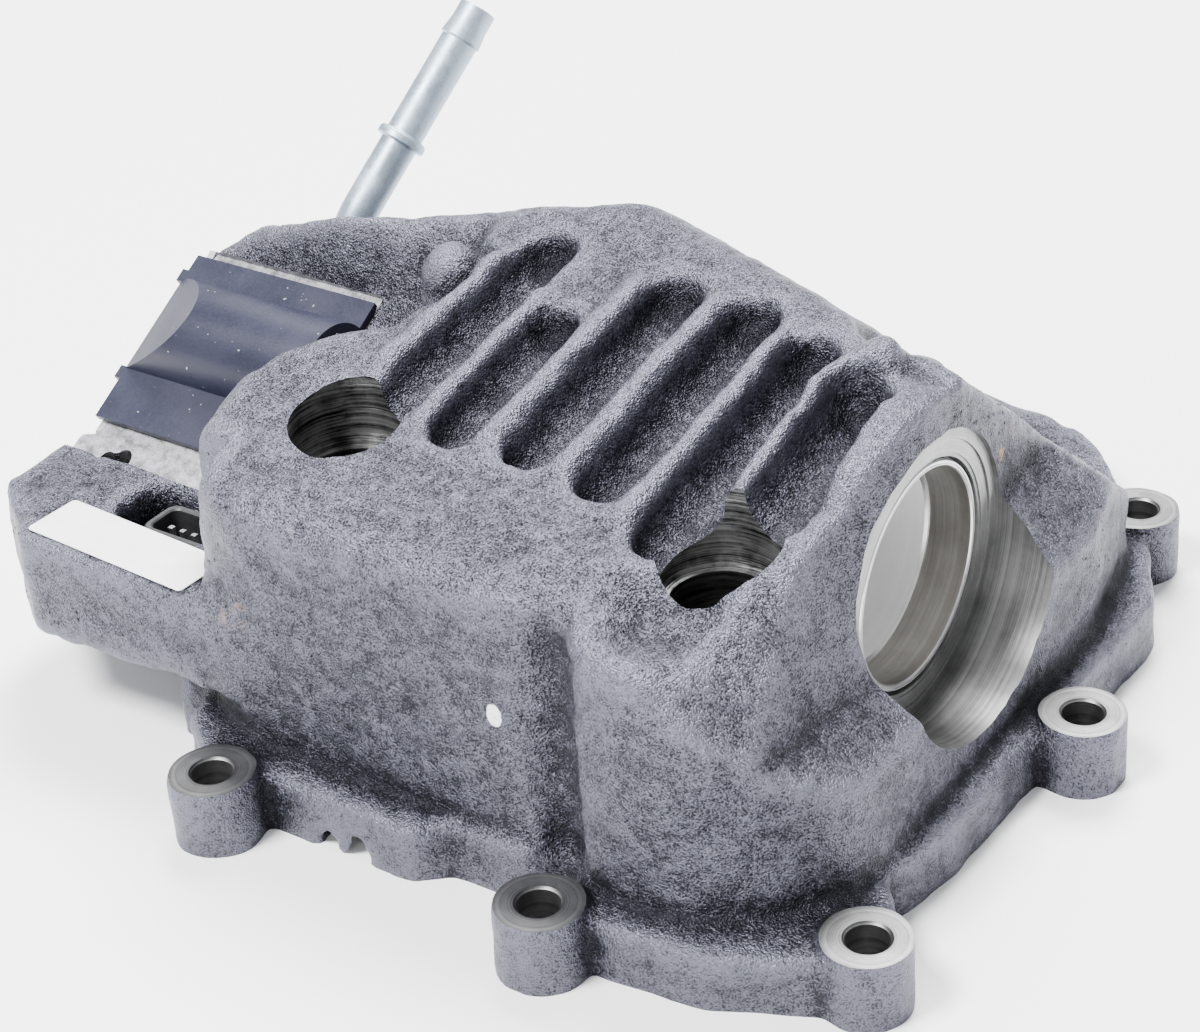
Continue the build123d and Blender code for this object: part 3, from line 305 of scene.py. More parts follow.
castIron = makeCastIron(castSet)
boltPlaces = (
    (-59.1, -89.8), (26.0, -90.4), (86.6, -67.4), (89.8, 19.5), (65.3, 100.9), (-14.7, 135.4), (-97.0, 62.0),
)
pocketPlaces = ((-54.0, -40.0), (40.5, -43.0))
portAxis = ((0, 0, axisHeight),)
boltAxes = [(x, y, 0) for x, y in boltPlaces]
pocketAxes = [(x, y, 0) for x, y in pocketPlaces]
machinedSets = {
    "portIron": {"axis": "X", "centres": portAxis, "dark": grey(0.14), "light": grey(0.36),
                 "pitch": 4200.0, "wander": 0.25, "roughness": 0.22, "bump": 0.30},
    "sleeveSteel": {"axis": "X", "centres": portAxis, "dark": grey(0.46), "light": grey(0.78),
                    "pitch": 3400.0, "wander": 0.4, "roughness": 0.13, "bump": 0.3},
    "pocketIron": {"axis": "Z", "centres": pocketAxes, "dark": grey(0.015), "light": grey(0.52),
                   "pitch": 1500.0, "wander": 3.4, "roughness": 0.20, "bump": 1.0, "contrast": (0.42, 0.62)},
    # the pockets' machined iron painted darker for the deep step: painted shade in the recess
    "pocketShadedDeep": {"axis": "Z", "centres": pocketAxes, "dark": grey(0.012), "light": grey(0.20),
                   "pitch": 1300.0, "wander": 3.4, "roughness": 0.24, "bump": 1.0},
    "bossIron": {"axis": "Z", "centres": boltAxes, "dark": grey(0.07), "light": grey(0.25),
                 "pitch": 2400.0, "wander": 0.8, "roughness": 0.22, "bump": 0.5},
    "holeIron": {"axis": "Z", "centres": boltAxes, "dark": grey(0.08), "light": grey(0.30),
                 "pitch": 1500.0, "wander": 1.0, "roughness": 0.26, "bump": 0.5},
    "faceIron": {"axis": "Z", "centres": ((-320, -500, 0),), "dark": grey(0.16), "light": grey(0.46),
                 "pitch": 1500.0, "wander": 3.0, "roughness": 0.26, "bump": 0.25},
    # near-white and not metallic: a painted reflection of the bright light deep in the bore
    "sleevePaintedReflection": {"axis": "X", "centres": portAxis, "dark": grey(0.86), "light": grey(0.97),
                   "pitch": 900.0, "wander": 1.6, "roughness": 0.30, "bump": 0.08, "metallic": 0.0},
    "sleeveMouth": {"axis": "X", "centres": portAxis, "dark": (0.26, 0.25, 0.23, 1.0),
                    "light": (0.44, 0.43, 0.40, 1.0), "pitch": 1200.0, "wander": 1.6, "roughness": 0.20,
                    "bump": 0.12},
    "turnedSteel": {"axis": "X", "centres": portAxis, "dark": grey(0.28), "light": grey(0.54),
                    "pitch": 2600.0, "wander": 0.6, "roughness": 0.18, "bump": 0.3},
}
machined = {name: makeMachined(name, settings) for name, settings in machinedSets.items()}

plainSets = {
    "coverPlastic": {"dark": (0.008, 0.009, 0.022, 1), "light": (0.016, 0.017, 0.034, 1),
                     "roughness": (0.36, 0.46), "gloss": 0.34, "fine": 1500.0, "bump": 0.10,
                     "specks": {"scale": 700.0, "from": 0.72, "share": 0.5, "colour": (0.5, 0.5, 0.52, 1)}},
    "plugPlastic": {"dark": (0.010, 0.010, 0.011, 1), "light": (0.022, 0.022, 0.024, 1),
                    "roughness": (0.38, 0.52)},
    "zincTube": {"dark": (0.27, 0.33, 0.39, 1), "light": (0.42, 0.49, 0.57, 1), "roughness": (0.36, 0.54),
                 "metallic": 0.80, "broad": 120.0, "fine": 1300.0, "bump": 0.35, "height": 0.00012},
    "labelFilm": {"dark": (0.78, 0.78, 0.79, 1), "light": (0.86, 0.86, 0.86, 1), "roughness": (0.32, 0.42),
                  "broad": 200.0, "bump": 0.05},
    "scouredIron": {"dark": grey(0.10, 0.05), "light": grey(0.40, 0.05), "roughness": (0.42, 0.60),
                    "metallic": 0.6, "broad": 420.0, "fine": 2400.0, "bump": 0.5},
    "groundSteel": {"dark": grey(0.40), "light": grey(0.58), "roughness": (0.20, 0.34), "metallic": 1.0},
    "stampedSteel": {"dark": grey(0.30), "light": grey(0.46), "roughness": (0.30, 0.46), "metallic": 1.0},
    "heatedSteel": {"dark": (0.22, 0.18, 0.15, 1), "light": (0.36, 0.31, 0.27, 1),
                    "roughness": (0.30, 0.50), "metallic": 1.0},
    "bronze": {"dark": (0.42, 0.27, 0.11, 1), "light": (0.60, 0.42, 0.20, 1), "roughness": (0.26, 0.42),
               "metallic": 1.0},
    "sealRubber": {"dark": (0.010, 0.010, 0.010, 1), "light": (0.025, 0.025, 0.025, 1),
                   "roughness": (0.55, 0.72)},
    "ferrite": {"dark": (0.03, 0.03, 0.034, 1), "light": (0.07, 0.07, 0.075, 1), "roughness": (0.5, 0.7)},
    "nylon": {"dark": (0.62, 0.59, 0.50, 1), "light": (0.74, 0.71, 0.62, 1), "roughness": (0.34, 0.5)},
    "milledAluminium": {"dark": grey(0.55), "light": grey(0.72), "roughness": (0.26, 0.42),
                        "metallic": 1.0},
    "carbon": {"dark": (0.015, 0.015, 0.015, 1), "light": (0.05, 0.05, 0.05, 1), "roughness": (0.4, 0.6)},
    "copper": {"dark": (0.60, 0.28, 0.15, 1), "light": (0.82, 0.45, 0.28, 1), "roughness": (0.2, 0.36),
               "metallic": 1.0},
    "boardGreen": {"dark": (0.010, 0.085, 0.030, 1), "light": (0.020, 0.16, 0.055, 1),
                   "roughness": (0.25, 0.4)},
    "tinned": {"dark": grey(0.58), "light": grey(0.76), "roughness": (0.2, 0.32), "metallic": 1.0},
}
plain = {name: makePlain(name, settings) for name, settings in plainSets.items()}
print("materials made")

# which finish each node wears
finishNodes = {
    "groundSteel": ("valve_stem", "output_gear", "idler_axle", "motor_shaft"),
    "stampedSteel": ("spring_plate", "stem_circlip", "return_spring", "nut_circlip", "rotor_core"),
    "heatedSteel": ("poppet_port_side", "poppet_far_side"),
    "bronze": ("stem_bush", "drive_nut", "drive_bush", "motor_bush", "motor_pinion"),
    "sealRubber": ("stem_seal", "cover_gasket"),
    "ferrite": ("position_magnet", "motor_magnets"),
    "nylon": ("idler_gear",),
    "milledAluminium": ("gear_plate", "end_plate"),
    "zincTube": ("end_plate_screws", "motor_can", "coolant_tube"),
    "plugPlastic": ("motor_end_cap", "connector_shell"),
    "carbon": ("motor_brushes",),
    "copper": ("commutator",),
    "coverPlastic": ("actuator_cover",),
    "boardGreen": ("sensor_board",),
    "tinned": ("connector_pins",),
    "labelFilm": ("blank_label",),
}
nodeFinish = {name: plain[finish] for finish, names in finishNodes.items() for name in names}
nodeFinish["port_sleeve"] = machined["sleeveSteel"]
for name in ("seat_port_side", "seat_far_side"):
    nodeFinish[name] = machined["turnedSteel"]
castNodes = ["valve_housing", "ribbed_roof", "mounting_flange", "flange_lugs", "left_pocket_foot",
             "left_pocket_wall", "right_pocket_foot", "right_pocket_wall", "port_boss", "drive_casing",
             "drive_arm"]
for name in castNodes:
    nodeFinish[name] = castIron
for name, material in nodeFinish.items():
    mesh = nodes[name].data
    mesh.materials.clear()
    mesh.materials.append(material)

# the casting: all its CAD regions as one distance field, softened like a sand casting, ribbed, then machined
castingSet = {
    "voxel": 0.85,  # mm
    "band": 9.0,                           # voxels kept on each side of the skin
    "around": 5.0,                         # mm of room round the casting
    "grow": 0.06,                          # mm, so that the regions fuse
    "bodyBlur": 3.4,                       # mm, on the thick walls
    "middleBlur": 1.9,                     # mm, round the port and the wing
    "firmBlur": 0.8,                       # mm, on the flange and the arm
    "lastBlur": 0.8,                       # mm, over the ribs and hollows
    "crestBlur": 2.2,                      # mm, what the crest attribute, the painted crest highlight and hollow shade, is measured against
    "waves": ((9.0, 0.34), (3.2, 0.20)),   # mm: size and height of the sand's unevenness
    "foot": 3.0,                           # mm: the flange keeps this section down to its face
    "triangles": 165000,
    "seed": 11,
}
# roof plane: its height at the front edge, and how it climbs to the back
roofSet = {"front": -48.0, "height": 77.0, "slope": 0.22, "cosine": 0.9766}
# other planes: a point in mm, the outward normal and the normal's length
planes = {
    "back": ((-35.0, 47.0, 98.0), (1866, 4668, 5430), 7400),
    "leftBack": ((-35.0, 47.0, 98.0), (-553, 1060, 1000), 1559),
    "corner": ((37.0, -80.0, 75.0), (680, -405, 610), 999),
    "facet": ((0.0, 0.0, 0.0), (986, -63.5, 284.5), 1028),
}
# raw metal that the ribs and the machined cuts are taken from, mm
stockSet = {
    "block": {"x": (-58.0, 58.0), "front": -56.0, "bottom": 60.0},
    "port": {"radius": 36.0, "x": (20.0, 62.8)},
    "lip": {"radius": 34.0, "x": (20.0, 77.5), "slant": 118.5, "cosine": 0.707},
    "pocket": {"radius": 14.0, "bottom": 30.0},
    "pad": {"edge": (-30.0, 46.0), "cosine": 0.866, "sine": 0.5, "above": 1.2, "below": 6.0,
            "x": (-141.0, -88.0), "y": (-30.6, 16.0)},
}
# where one blur hands over to another: start and length of each passage, mm
zones = {
    "flange": (15.0, 9.0), "arm": (-96.0, 10.0), "port": (-54.0, 12.0), "ring": (-62.0, 12.0),
    "front": (66.0, 6.0), "rear": (20.0, 10.0), "armTip": (-150.0, 30.0), "armTop": (50.0, 10.0),
}
# forms added to and taken from the softened skin, mm
shoulderSet = {
    "groove": {"place": (20.5, -77.5), "radius": 6.0, "top": 64.0, "blend": 4.0},
    "arch": {"radius": 39.5, "face": 62.4, "faceRadius": 32.0, "lean": (0.78, 0.62), "back": 49.0,
             "blend": 2.0},
    "facet": {"reach": 79.9, "swell": 5.1, "swellZone": (-32.0, 24.0), "easeBelow": 48.0, "ease": 0.75,
              "easeMost": 14.0, "blend": 1.0},
    "hollows": (((-67.0, 9.0, 95.5), 13.0, 3.0), ((41.0, -66.0, 84.0), 17.2, 5.0),
                ((44.0, 35.0, 93.5), 15.5, 3.0)),                          # centre, radius, blend
    "domes": (((-66.0, 14.0, 85.5), 7.0, 2.0),),
    "creases": (((55.0, -49.5, 77.6), (56.0, -66.0, 67.5), 2.4),
                ((-60.0, -15.0, 88.0), (-57.6, 14.0, 92.0), 3.2)),         # ends, radius
    "creaseBlend": 1.6,
}
# troughs between the ribs: ends of each middle line, half width, depth of the middle below the roof
troughs = (
    ((-48.5, -29.0), (-45.0, 23.0), 6.3, 2.8),
    ((-30.0, -33.0), (-29.2, 1.0), 6.1, 2.8),
    ((-11.2, -32.5), (-9.5, 19.0), 6.6, 3.2),
    ((9.4, -35.0), (10.4, 17.5), 6.8, 3.4),
    ((28.2, -44.0), (28.6, 12.0), 6.3, 3.4),
    ((46.2, -31.0), (46.0, 1.0), 6.9, 1.2),
)
# crests that stand proud of the roof: ends, half width, height of the middle above the roof
crests = (
    ((-57.0, -20.0), (-54.0, 13.0), 3.0, -1.4), ((-54.0, 13.0), (-44.5, 27.0), 3.6, -1.4),
    ((-38.2, -34.0), (-37.6, 8.0), 2.8, -1.4), ((-21.6, -34.0), (-18.5, 20.0), 2.8, -1.2),
    ((-0.8, -36.0), (1.0, 19.0), 2.8, -1.2), ((18.8, -44.0), (20.6, 13.0), 2.8, -1.0),
    ((37.0, -29.0), (38.6, 6.0), 3.2, -0.6), ((38.6, 0.0), (44.5, 13.0), 5.2, 0.6),
)
ribBlend = {"crest": 2.4, "trough": 2.6}
# crisp forms put back at the end: bolt lugs, the flat under the label, and the room left to the CAD box
crispSet = {
    "lug": {"radius": 9.0, "top": 19.0, "blend": 2.0},
    "labelSeat": {"x": (-127.0, -74.0), "y": (-75.5, -55.5), "top": 45.9},
    "margin": {"low": 0.05, "high": 0.30, "from": 20.0},
}


def fieldOfMesh(points, corners, settings, low, count):
    grid = openvdb.FloatGrid.createLevelSetFromPolygons(
        points.astype(np.float32), triangles=corners.astype(np.uint32),
        transform=openvdb.createLinearTransform(voxelSize=settings["voxel"]), halfWidth=settings["band"])
    field = np.zeros(count, np.float32)
    grid.copyToArray(field, ijk=tuple(int(v) for v in low))
    return field


def nodeField(name, settings, low, count):
    copy = bmesh.new()
    copy.from_mesh(nodes[name].data)
    bmesh.ops.remove_doubles(copy, verts=copy.verts, dist=weld)
    bmesh.ops.triangulate(copy, faces=copy.faces)
    points = np.array([v.co[:] for v in copy.verts]) / mm
    corners = np.array([[v.index for v in f.verts] for f in copy.faces])
    copy.free()
    return fieldOfMesh(points, corners, settings, low, count)


def quadsOf(field, settings, low):
    spacing = settings["voxel"]
    grid = openvdb.FloatGrid(settings["band"] * spacing)
    grid.copyFromArray(field, ijk=tuple(int(v) for v in low))
    grid.transform = openvdb.createLinearTransform(voxelSize=spacing)
    return grid.convertToQuads(isovalue=0.0)


def blurred(field, sigma):
    reach = max(1, int(math.ceil(sigma * 2.5)))
    weights = np.exp(-0.5 * (np.arange(-reach, reach + 1) / sigma) ** 2)
    weights = (weights / weights.sum()).astype(np.float32)
    for axis in range(3):
        padded = np.pad(field, [(reach, reach) if a == axis else (0, 0) for a in range(3)], mode="edge")
        total = np.zeros_like(field)
        for offset, weight in enumerate(weights):
            part = [slice(None)] * 3
            part[axis] = slice(offset, offset + field.shape[axis])
            total += padded[tuple(part)] * weight
        field = total
    return field


def softMin(a, b, blend):
    overlap = np.clip(0.5 + 0.5 * (b - a) / blend, 0, 1)
    return b + (a - b) * overlap - blend * overlap * (1 - overlap)


def softMax(a, b, blend):
    return -softMin(-a, -b, blend)


def joined(*fields):
    whole = fields[0]
    for other in fields[1:]:
        whole = np.maximum(whole, other)
    return whole


def applied(obj, name):
    depsgraph = bpy.context.evaluated_depsgraph_get()
    mesh = bpy.data.meshes.new_from_object(obj.evaluated_get(depsgraph))
    mesh.name = name
    obj.modifiers.clear()
    obj.data = mesh
    return obj


def alongLine(x, y, start, end):
    runX, runY = end[0] - start[0], end[1] - start[1]
    share = np.clip(((x - start[0]) * runX + (y - start[1]) * runY) / (runX ** 2 + runY ** 2), 0, 1)
    return np.sqrt((x - start[0] - share * runX) ** 2 + (y - start[1] - share * runY) ** 2)


def alongRod(x, y, z, start, end):
    run = [b - a for a, b in zip(start, end)]
    share = (x - start[0]) * run[0] + (y - start[1]) * run[1] + (z - start[2]) * run[2]
    share = np.clip(share / sum(v * v for v in run), 0, 1)
    return np.sqrt((x - start[0] - share * run[0]) ** 2 + (y - start[1] - share * run[1]) ** 2
                   + (z - start[2] - share * run[2]) ** 2)


def ramp(value, passage):
    start, length = passage
    return (value - start) / length


def abovePlane(x, y, z, plane):
    point, normal, length = plane
    return ((x - point[0]) * normal[0] + (y - point[1]) * normal[1] + (z - point[2]) * normal[2]) / length


def fromBall(x, y, z, centre, radius):
    return np.sqrt((x - centre[0]) ** 2 + (y - centre[1]) ** 2 + (z - centre[2]) ** 2) - radius


def fromPost(x, y, place):
    return np.sqrt((x - place[0]) ** 2 + (y - place[1]) ** 2)


# the stretch of space that holds the casting: first cell, number of cells, and the cells' places in mm
def roomFor(names, settings):
    spacing = settings["voxel"]
    lows, highs = zip(*(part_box(name) for name in names))
    low = (np.min([list(v) for v in lows], axis=0) / mm - settings["around"]) / spacing
    high = (np.max([list(v) for v in highs], axis=0) / mm + settings["around"]) / spacing
    low = np.floor(low).astype(int)
    high = np.ceil(high).astype(int)
    count = high - low + 1
    places = []
    for i in range(3):
        line = (np.arange(count[i]) + low[i]).astype(np.float32) * spacing
        places.append(line.reshape([-1 if a == i else 1 for a in range(3)]))
    return low, count, places


def fusedField(names, settings, low, count):
    field = None
    for name in names:
        one = nodeField(name, settings, low, count) - settings["grow"]
        field = one if field is None else np.minimum(field, one)
    points, quads = quadsOf(field, settings, low)
    corners = np.concatenate([quads[:, [0, 1, 2]], quads[:, [0, 2, 3]]])
    return fieldOfMesh(points, corners, settings, low, count)


def withStock(field, x, y, z, roof, axisRadius, settings):
    block, port, lip = settings["block"], settings["port"], settings["lip"]
    pocket, pad = settings["pocket"], settings["pad"]
    back, leftBack, corner = (abovePlane(x, y, z, planes[name]) for name in ("back", "leftBack", "corner"))
    field = np.minimum(field, joined(
        roof, back, leftBack, corner, x - block["x"][1], block["x"][0] - x, block["bottom"] - z,
        block["front"] - y))
    field = np.minimum(field, joined(axisRadius - port["radius"], x - port["x"][1], port["x"][0] - x))
    field = np.minimum(field, joined(
        axisRadius - lip["radius"], (x + z - lip["slant"]) * lip["cosine"], x - lip["x"][1], lip["x"][0] - x))
    for place in pocketPlaces:
        post = fromPost(x, y, place) - pocket["radius"]
        field = np.minimum(field, joined(post, roof, pocket["bottom"] - z))
    slope = (z - pad["edge"][1]) * pad["cosine"] - (y - pad["edge"][0]) * pad["sine"]
    return np.minimum(field, joined(
        slope - pad["above"], -pad["below"] - slope, pad["y"][0] - y, y - pad["y"][1], pad["x"][0] - x,
        x - pad["x"][1]))


# thick walls get broad rounded edges, the flange and the arm stay firm
def softened(field, x, y, z, settings):
    firm, middle, body = (blurred(field, settings[name] / settings["voxel"])
                          for name in ("firmBlur", "middleBlur", "bodyBlur"))
    aboveFlange = np.clip(ramp(z, zones["flange"]), 0, 1)
    offArm = np.clip(ramp(x, zones["arm"]), 0, 1)
    offPort = np.clip(ramp(-x, zones["port"]), 0, 1)
    offRing = np.clip(ramp(-x, zones["ring"]) + ramp(-y, zones["front"]) + ramp(y, zones["rear"]), 0, 1)
    offTip = np.clip(ramp(x, zones["armTip"]) + ramp(z, zones["armTop"]), 0, 1)
    middle = firm + (middle - firm) * offRing
    field = firm + (middle - firm) * aboveFlange * offTip
    return field + (body - field) * aboveFlange * offArm * offPort


# the groove in the front wall, the arched plate that carries the port's ring, the leaning facet beside it,
# hollows and creases scooped from the skin, and the dome
def shouldered(field, x, y, z, axisRadius, settings):
    groove, arch, facet = settings["groove"], settings["arch"], settings["facet"]
    post = np.maximum(fromPost(x, y, groove["place"]) - groove["radius"], z - groove["top"] + 0 * x)
    field = softMax(field, -post, groove["blend"])
    cone = (x - arch["face"]) * arch["lean"][0] + (axisRadius - arch["faceRadius"]) * arch["lean"][1]
    field = softMin(field, joined(axisRadius - arch["radius"], cone, arch["back"] - x), arch["blend"])
    lean = abovePlane(x, y, z, planes["facet"]) - facet["reach"]
    lean = lean - facet["swell"] * np.clip(ramp(y, facet["swellZone"]), 0, 1)
    lean = lean - np.clip((facet["easeBelow"] - z) * facet["ease"], 0, facet["easeMost"])
    field = softMax(field, lean, facet["blend"])
    for centre, radius, blend in settings["hollows"]:
        field = softMax(field, -fromBall(x, y, z, centre, radius), blend)
    for start, end, radius in settings["creases"]:
        field = softMax(field, radius - alongRod(x, y, z, start, end), settings["creaseBlend"])
    for centre, radius, blend in settings["domes"]:
        field = softMin(field, fromBall(x, y, z, centre, radius), blend)
    return field


# ribs: rounded crests and troughs that follow the roof
def ribbed(field, x, y, roof):
    for start, end, half, lift in crests:
        away = alongLine(x, y, start, end)
        field = softMin(field, np.sqrt(away ** 2 + (roof - lift) ** 2) - half, ribBlend["crest"])
    for start, end, half, sunk in troughs:
        away = alongLine(x, y, start, end)
        bed = np.where(roof < -sunk, np.sqrt(away ** 2 + (roof + sunk) ** 2), away + 0 * roof) - half
        field = softMax(field, -bed, ribBlend["trough"])
    return field


def roughened(field, settings):
    spacing = settings["voxel"]
    chance = np.random.default_rng(settings["seed"])
    for size, heightOf in settings["waves"]:
        noise = chance.standard_normal(field.shape).astype(np.float32)
        wave = blurred(noise, max(size / 3.0 / spacing, 0.5))
        field = field + wave * np.float32(heightOf / wave.std() * 0.5)
    return field


def crisp(field, x, y, z, settings):
    lug, seat, margin = settings["lug"], settings["labelSeat"], settings["margin"]
    for place in boltPlaces:
        field = softMin(field, joined(fromPost(x, y, place) - lug["radius"], z - lug["top"]), lug["blend"])
    underLabel = joined(x - seat["x"][1], seat["x"][0] - x, y - seat["y"][1], seat["y"][0] - y)
    field = np.where(underLabel + 0 * z < 0, np.maximum(field, z - seat["top"]), field)
    least, most = ([v / mm for v in corner] for corner in cadBounds)
    room = np.where(z < margin["from"], margin["low"], margin["high"])
    return np.maximum(field, joined(least[0] - x, x - most[0], least[1] - y, y - most[1]) + room)


def meshedCasting(field, settings, low):
    points, quads = quadsOf(field, settings, low)
    mesh = bpy.data.meshes.new("castHousing")
    mesh.from_pydata((points * mm).tolist(), [], quads.tolist())
    casting = bpy.data.objects.new("castHousing", mesh)
    bpy.context.scene.collection.objects.link(casting)
    thin = casting.modifiers.new("thin", "DECIMATE")
    thin.ratio = min(1.0, settings["triangles"] / (len(quads) * 2))
    applied(casting, "castHousing")
    print("casting meshed", len(quads) * 2, "->", len(casting.data.polygons))
    return casting


def buildCasting(settings):
    spacing = settings["voxel"]
    low, count, (x, y, z) = roomFor(castNodes, settings)
    field = fusedField(castNodes, settings, low, count)
    print("casting field", field.shape)
    roof = (z - roofSet["height"] - roofSet["slope"] * (y - roofSet["front"])) * roofSet["cosine"]
    axisRadius = np.sqrt(y ** 2 + (z - axisHeight) ** 2)
    field = withStock(field, x, y, z, roof, axisRadius, stockSet)
    field = softened(field, x, y, z, settings)
    field = shouldered(field, x, y, z, axisRadius, shoulderSet)
    field = ribbed(field, x, y, roof)
    foot = int(settings["foot"] / spacing) - low[2]
    field[:, :, :foot] = field[:, :, foot][:, :, None]
    field = blurred(field, settings["lastBlur"] / spacing)
    field = crisp(roughened(field, settings), x, y, z, crispSet)
    print("casting softened and ribbed")
    casting = meshedCasting(field, settings, low)
    # how far the softened skin stands out: drives the painted crest highlight and hollow shade
    curvatureForShade = blurred(field, settings["crestBlur"] / spacing) - field
    return casting, (curvatureForShade, low)


def drum(place, radius, start, end, axis="Z", sides=96, material=0, tip=None):
    built = bmesh.new()
    bmesh.ops.create_cone(built, cap_ends=True, segments=sides, radius1=radius * mm,
                          radius2=(tip if tip is not None else radius) * mm, depth=(end - start) * mm)
    bmesh.ops.translate(built, verts=built.verts, vec=(0, 0, (end + start) / 2 * mm))
    if axis == "X":
        turn = Matrix.Rotation(math.radians(90), 3, "Y")
        bmesh.ops.rotate(built, verts=built.verts, cent=(0, 0, 0), matrix=turn)
        bmesh.ops.translate(built, verts=built.verts, vec=(0, place[0] * mm, place[1] * mm))
    else:
        bmesh.ops.translate(built, verts=built.verts, vec=(place[0] * mm, place[1] * mm, 0))
    for face in built.faces:
        face.material_index = material
    return built


def slab(corners, depth, direction, material=0):
    built = bmesh.new()
    low = [built.verts.new(Vector(c) * mm) for c in corners]
    high = [built.verts.new((Vector(c) + Vector(direction) * depth) * mm) for c in corners]
    built.faces.new(low)
    built.faces.new(high)
    for i in range(len(corners)):
        j = (i + 1) % len(corners)
        built.faces.new((low[i], low[j], high[j], high[i]))
    bmesh.ops.recalc_face_normals(built, faces=built.faces)
    for face in built.faces:
        face.material_index = material
    return built


def cutter(parts, materials):
    whole = bmesh.new()
    for part in parts:
        piece = bpy.data.meshes.new("part")
        part.to_mesh(piece)
        part.free()
        whole.from_mesh(piece)
        bpy.data.meshes.remove(piece)
    mesh = bpy.data.meshes.new("cutter")
    whole.to_mesh(mesh)
    whole.free()
    for material in materials:
        mesh.materials.append(material)
    obj = bpy.data.objects.new("cutter", mesh)
    bpy.context.scene.collection.objects.link(obj)
    return obj


def sharpWhereCut(mesh, degrees):
    mesh.shade_smooth()
    built = bmesh.new()
    built.from_mesh(mesh)
    for edge in built.edges:
        if len(edge.link_faces) == 2:
            first, second = edge.link_faces
            if first.material_index != second.material_index:
                edge.smooth = False
            elif first.material_index and edge.calc_face_angle(0.0) > math.radians(degrees):
                edge.smooth = False
    built.to_mesh(mesh)
    built.free()


machiningSet = {
    "facing": {"half": 300.0, "depth": 20.0},                                  # the mounting face, mm
    "boltHole": 4.5, "bossTop": 16.0, "bossClear": 9.9, "chamfer": (0.4, 0.6, 0.9, 0.1),
    "pocketRadius": 12.9, "pocketStep": 10.6, "pocketFloor": 34.0, "stepDrop": 14.0, "innerHole": 5.5,
    "portFace": 62.0,
    "portSteps": ((32.0, 0.0), (29.4, 0.5), (26.3, 0.8), (25.5, 3.4), (25.0, 31.0)),     # radius, depth
    "chamber": {"radius": 21.0, "x": (24.0, 124.0)},
    "drilled": ((-134.5, -35.5), (-130.5, -34.0)), "drill": {"radius": 2.3, "z": (25.0, 60.0)},
    "pad": {"x": (-150.0, -88.3), "y": (-36.0, 16.3), "edge": (-30.0, 46.0), "slope": 0.57735,
            "depth": 30.0, "normal": (0, -0.5, 0.866)},
    "clearBelow": -8.0, "clearAbove": {"boss": 44.0, "hole": 30.0, "pocket": 120.0, "step": 118.0,
                                       "inner": 100.0, "port": 130.0},
    "sharpAbove": 35.0,                                                        # degrees
    "crestMost": 0.8,                                                          # mm, the most that the painted crest highlight and hollow shade reach
}


# every cut of the machining, in the order of work, each with the slot of the metal that it lays bare
def cutsOf(settings, slots):
    ends = settings["clearAbove"]
    below, top, hole = settings["clearBelow"], settings["bossTop"], settings["boltHole"]
    half, thick = settings["facing"]["half"], settings["facing"]["depth"]
    corners = [(x, y, -thick) for x, y in ((-half, -half), (half, -half), (half, half), (-half, half))]
    groups = [[slab(corners, thick, (0, 0, 1), slots["face"])]]
    groups.append([drum(p, settings["bossClear"], top, ends["boss"], material=slots["boss"])
                   for p in boltPlaces])
    groups.append([drum(p, hole, below, ends["hole"], sides=48, material=slots["hole"]) for p in boltPlaces])
    inset, flare, deep, proud = settings["chamfer"]
    groups.append([drum(p, hole - inset, top - deep, top + proud, sides=48, material=slots["boss"],
                        tip=hole + flare) for p in boltPlaces])
    upper = []
    for place in pocketPlaces:
        roof = roofSet["height"] + roofSet["slope"] * (place[1] - roofSet["front"])
        upper.append(drum(place, settings["pocketRadius"], roof - settings["stepDrop"], ends["pocket"],
                          material=slots["pocket"]))
    groups.append(upper)
    groups.append([drum(p, settings["pocketStep"], settings["pocketFloor"], ends["step"],
                        material=slots["deep"]) for p in pocketPlaces])
    groups.append([drum(p, settings["innerHole"], below, ends["inner"], sides=48, material=slots["hole"])
                   for p in pocketPlaces])
    centre = (0.0, axisHeight)
    for index, (radius, depth) in enumerate(settings["portSteps"]):
        groups.append([drum(centre, radius, settings["portFace"] - depth, ends["port"] - index, axis="X",
                            sides=160, material=slots["port"])])
    chamber, drill, pad = settings["chamber"], settings["drill"], settings["pad"]
    groups.append([drum(centre, chamber["radius"], *chamber["x"], axis="X", sides=128)])
    groups.append([drum(p, drill["radius"], *drill["z"], sides=32, material=slots["hole"])
                   for p in settings["drilled"]])
    near, far = ((y, pad["edge"][1] + (y - pad["edge"][0]) * pad["slope"]) for y in pad["y"])
    left, right = pad["x"]
    groups.append([slab([(left,) + near, (left,) + far, (right,) + far, (right,) + near], pad["depth"],
                        pad["normal"], slots["pad"])])
    return groups


# how far each point of the skin stands out from its surroundings, for the painted highlight on crests and
# painted shade in hollows in the colour
def markPaintedCrestLight(mesh, curvatureForShade, most):
    field, low = curvatureForShade
    points = np.zeros(len(mesh.vertices) * 3, np.float32)
    mesh.vertices.foreach_get("co", points)
    cells = np.rint(points.reshape(-1, 3) / mm / castingSet["voxel"]).astype(int) - low
    cells = np.clip(cells, 0, np.array(field.shape) - 1)
    crest = mesh.attributes.new("crest", "FLOAT", "POINT")
    crest.data.foreach_set("value", np.clip(field[cells[:, 0], cells[:, 1], cells[:, 2]], -most, most))


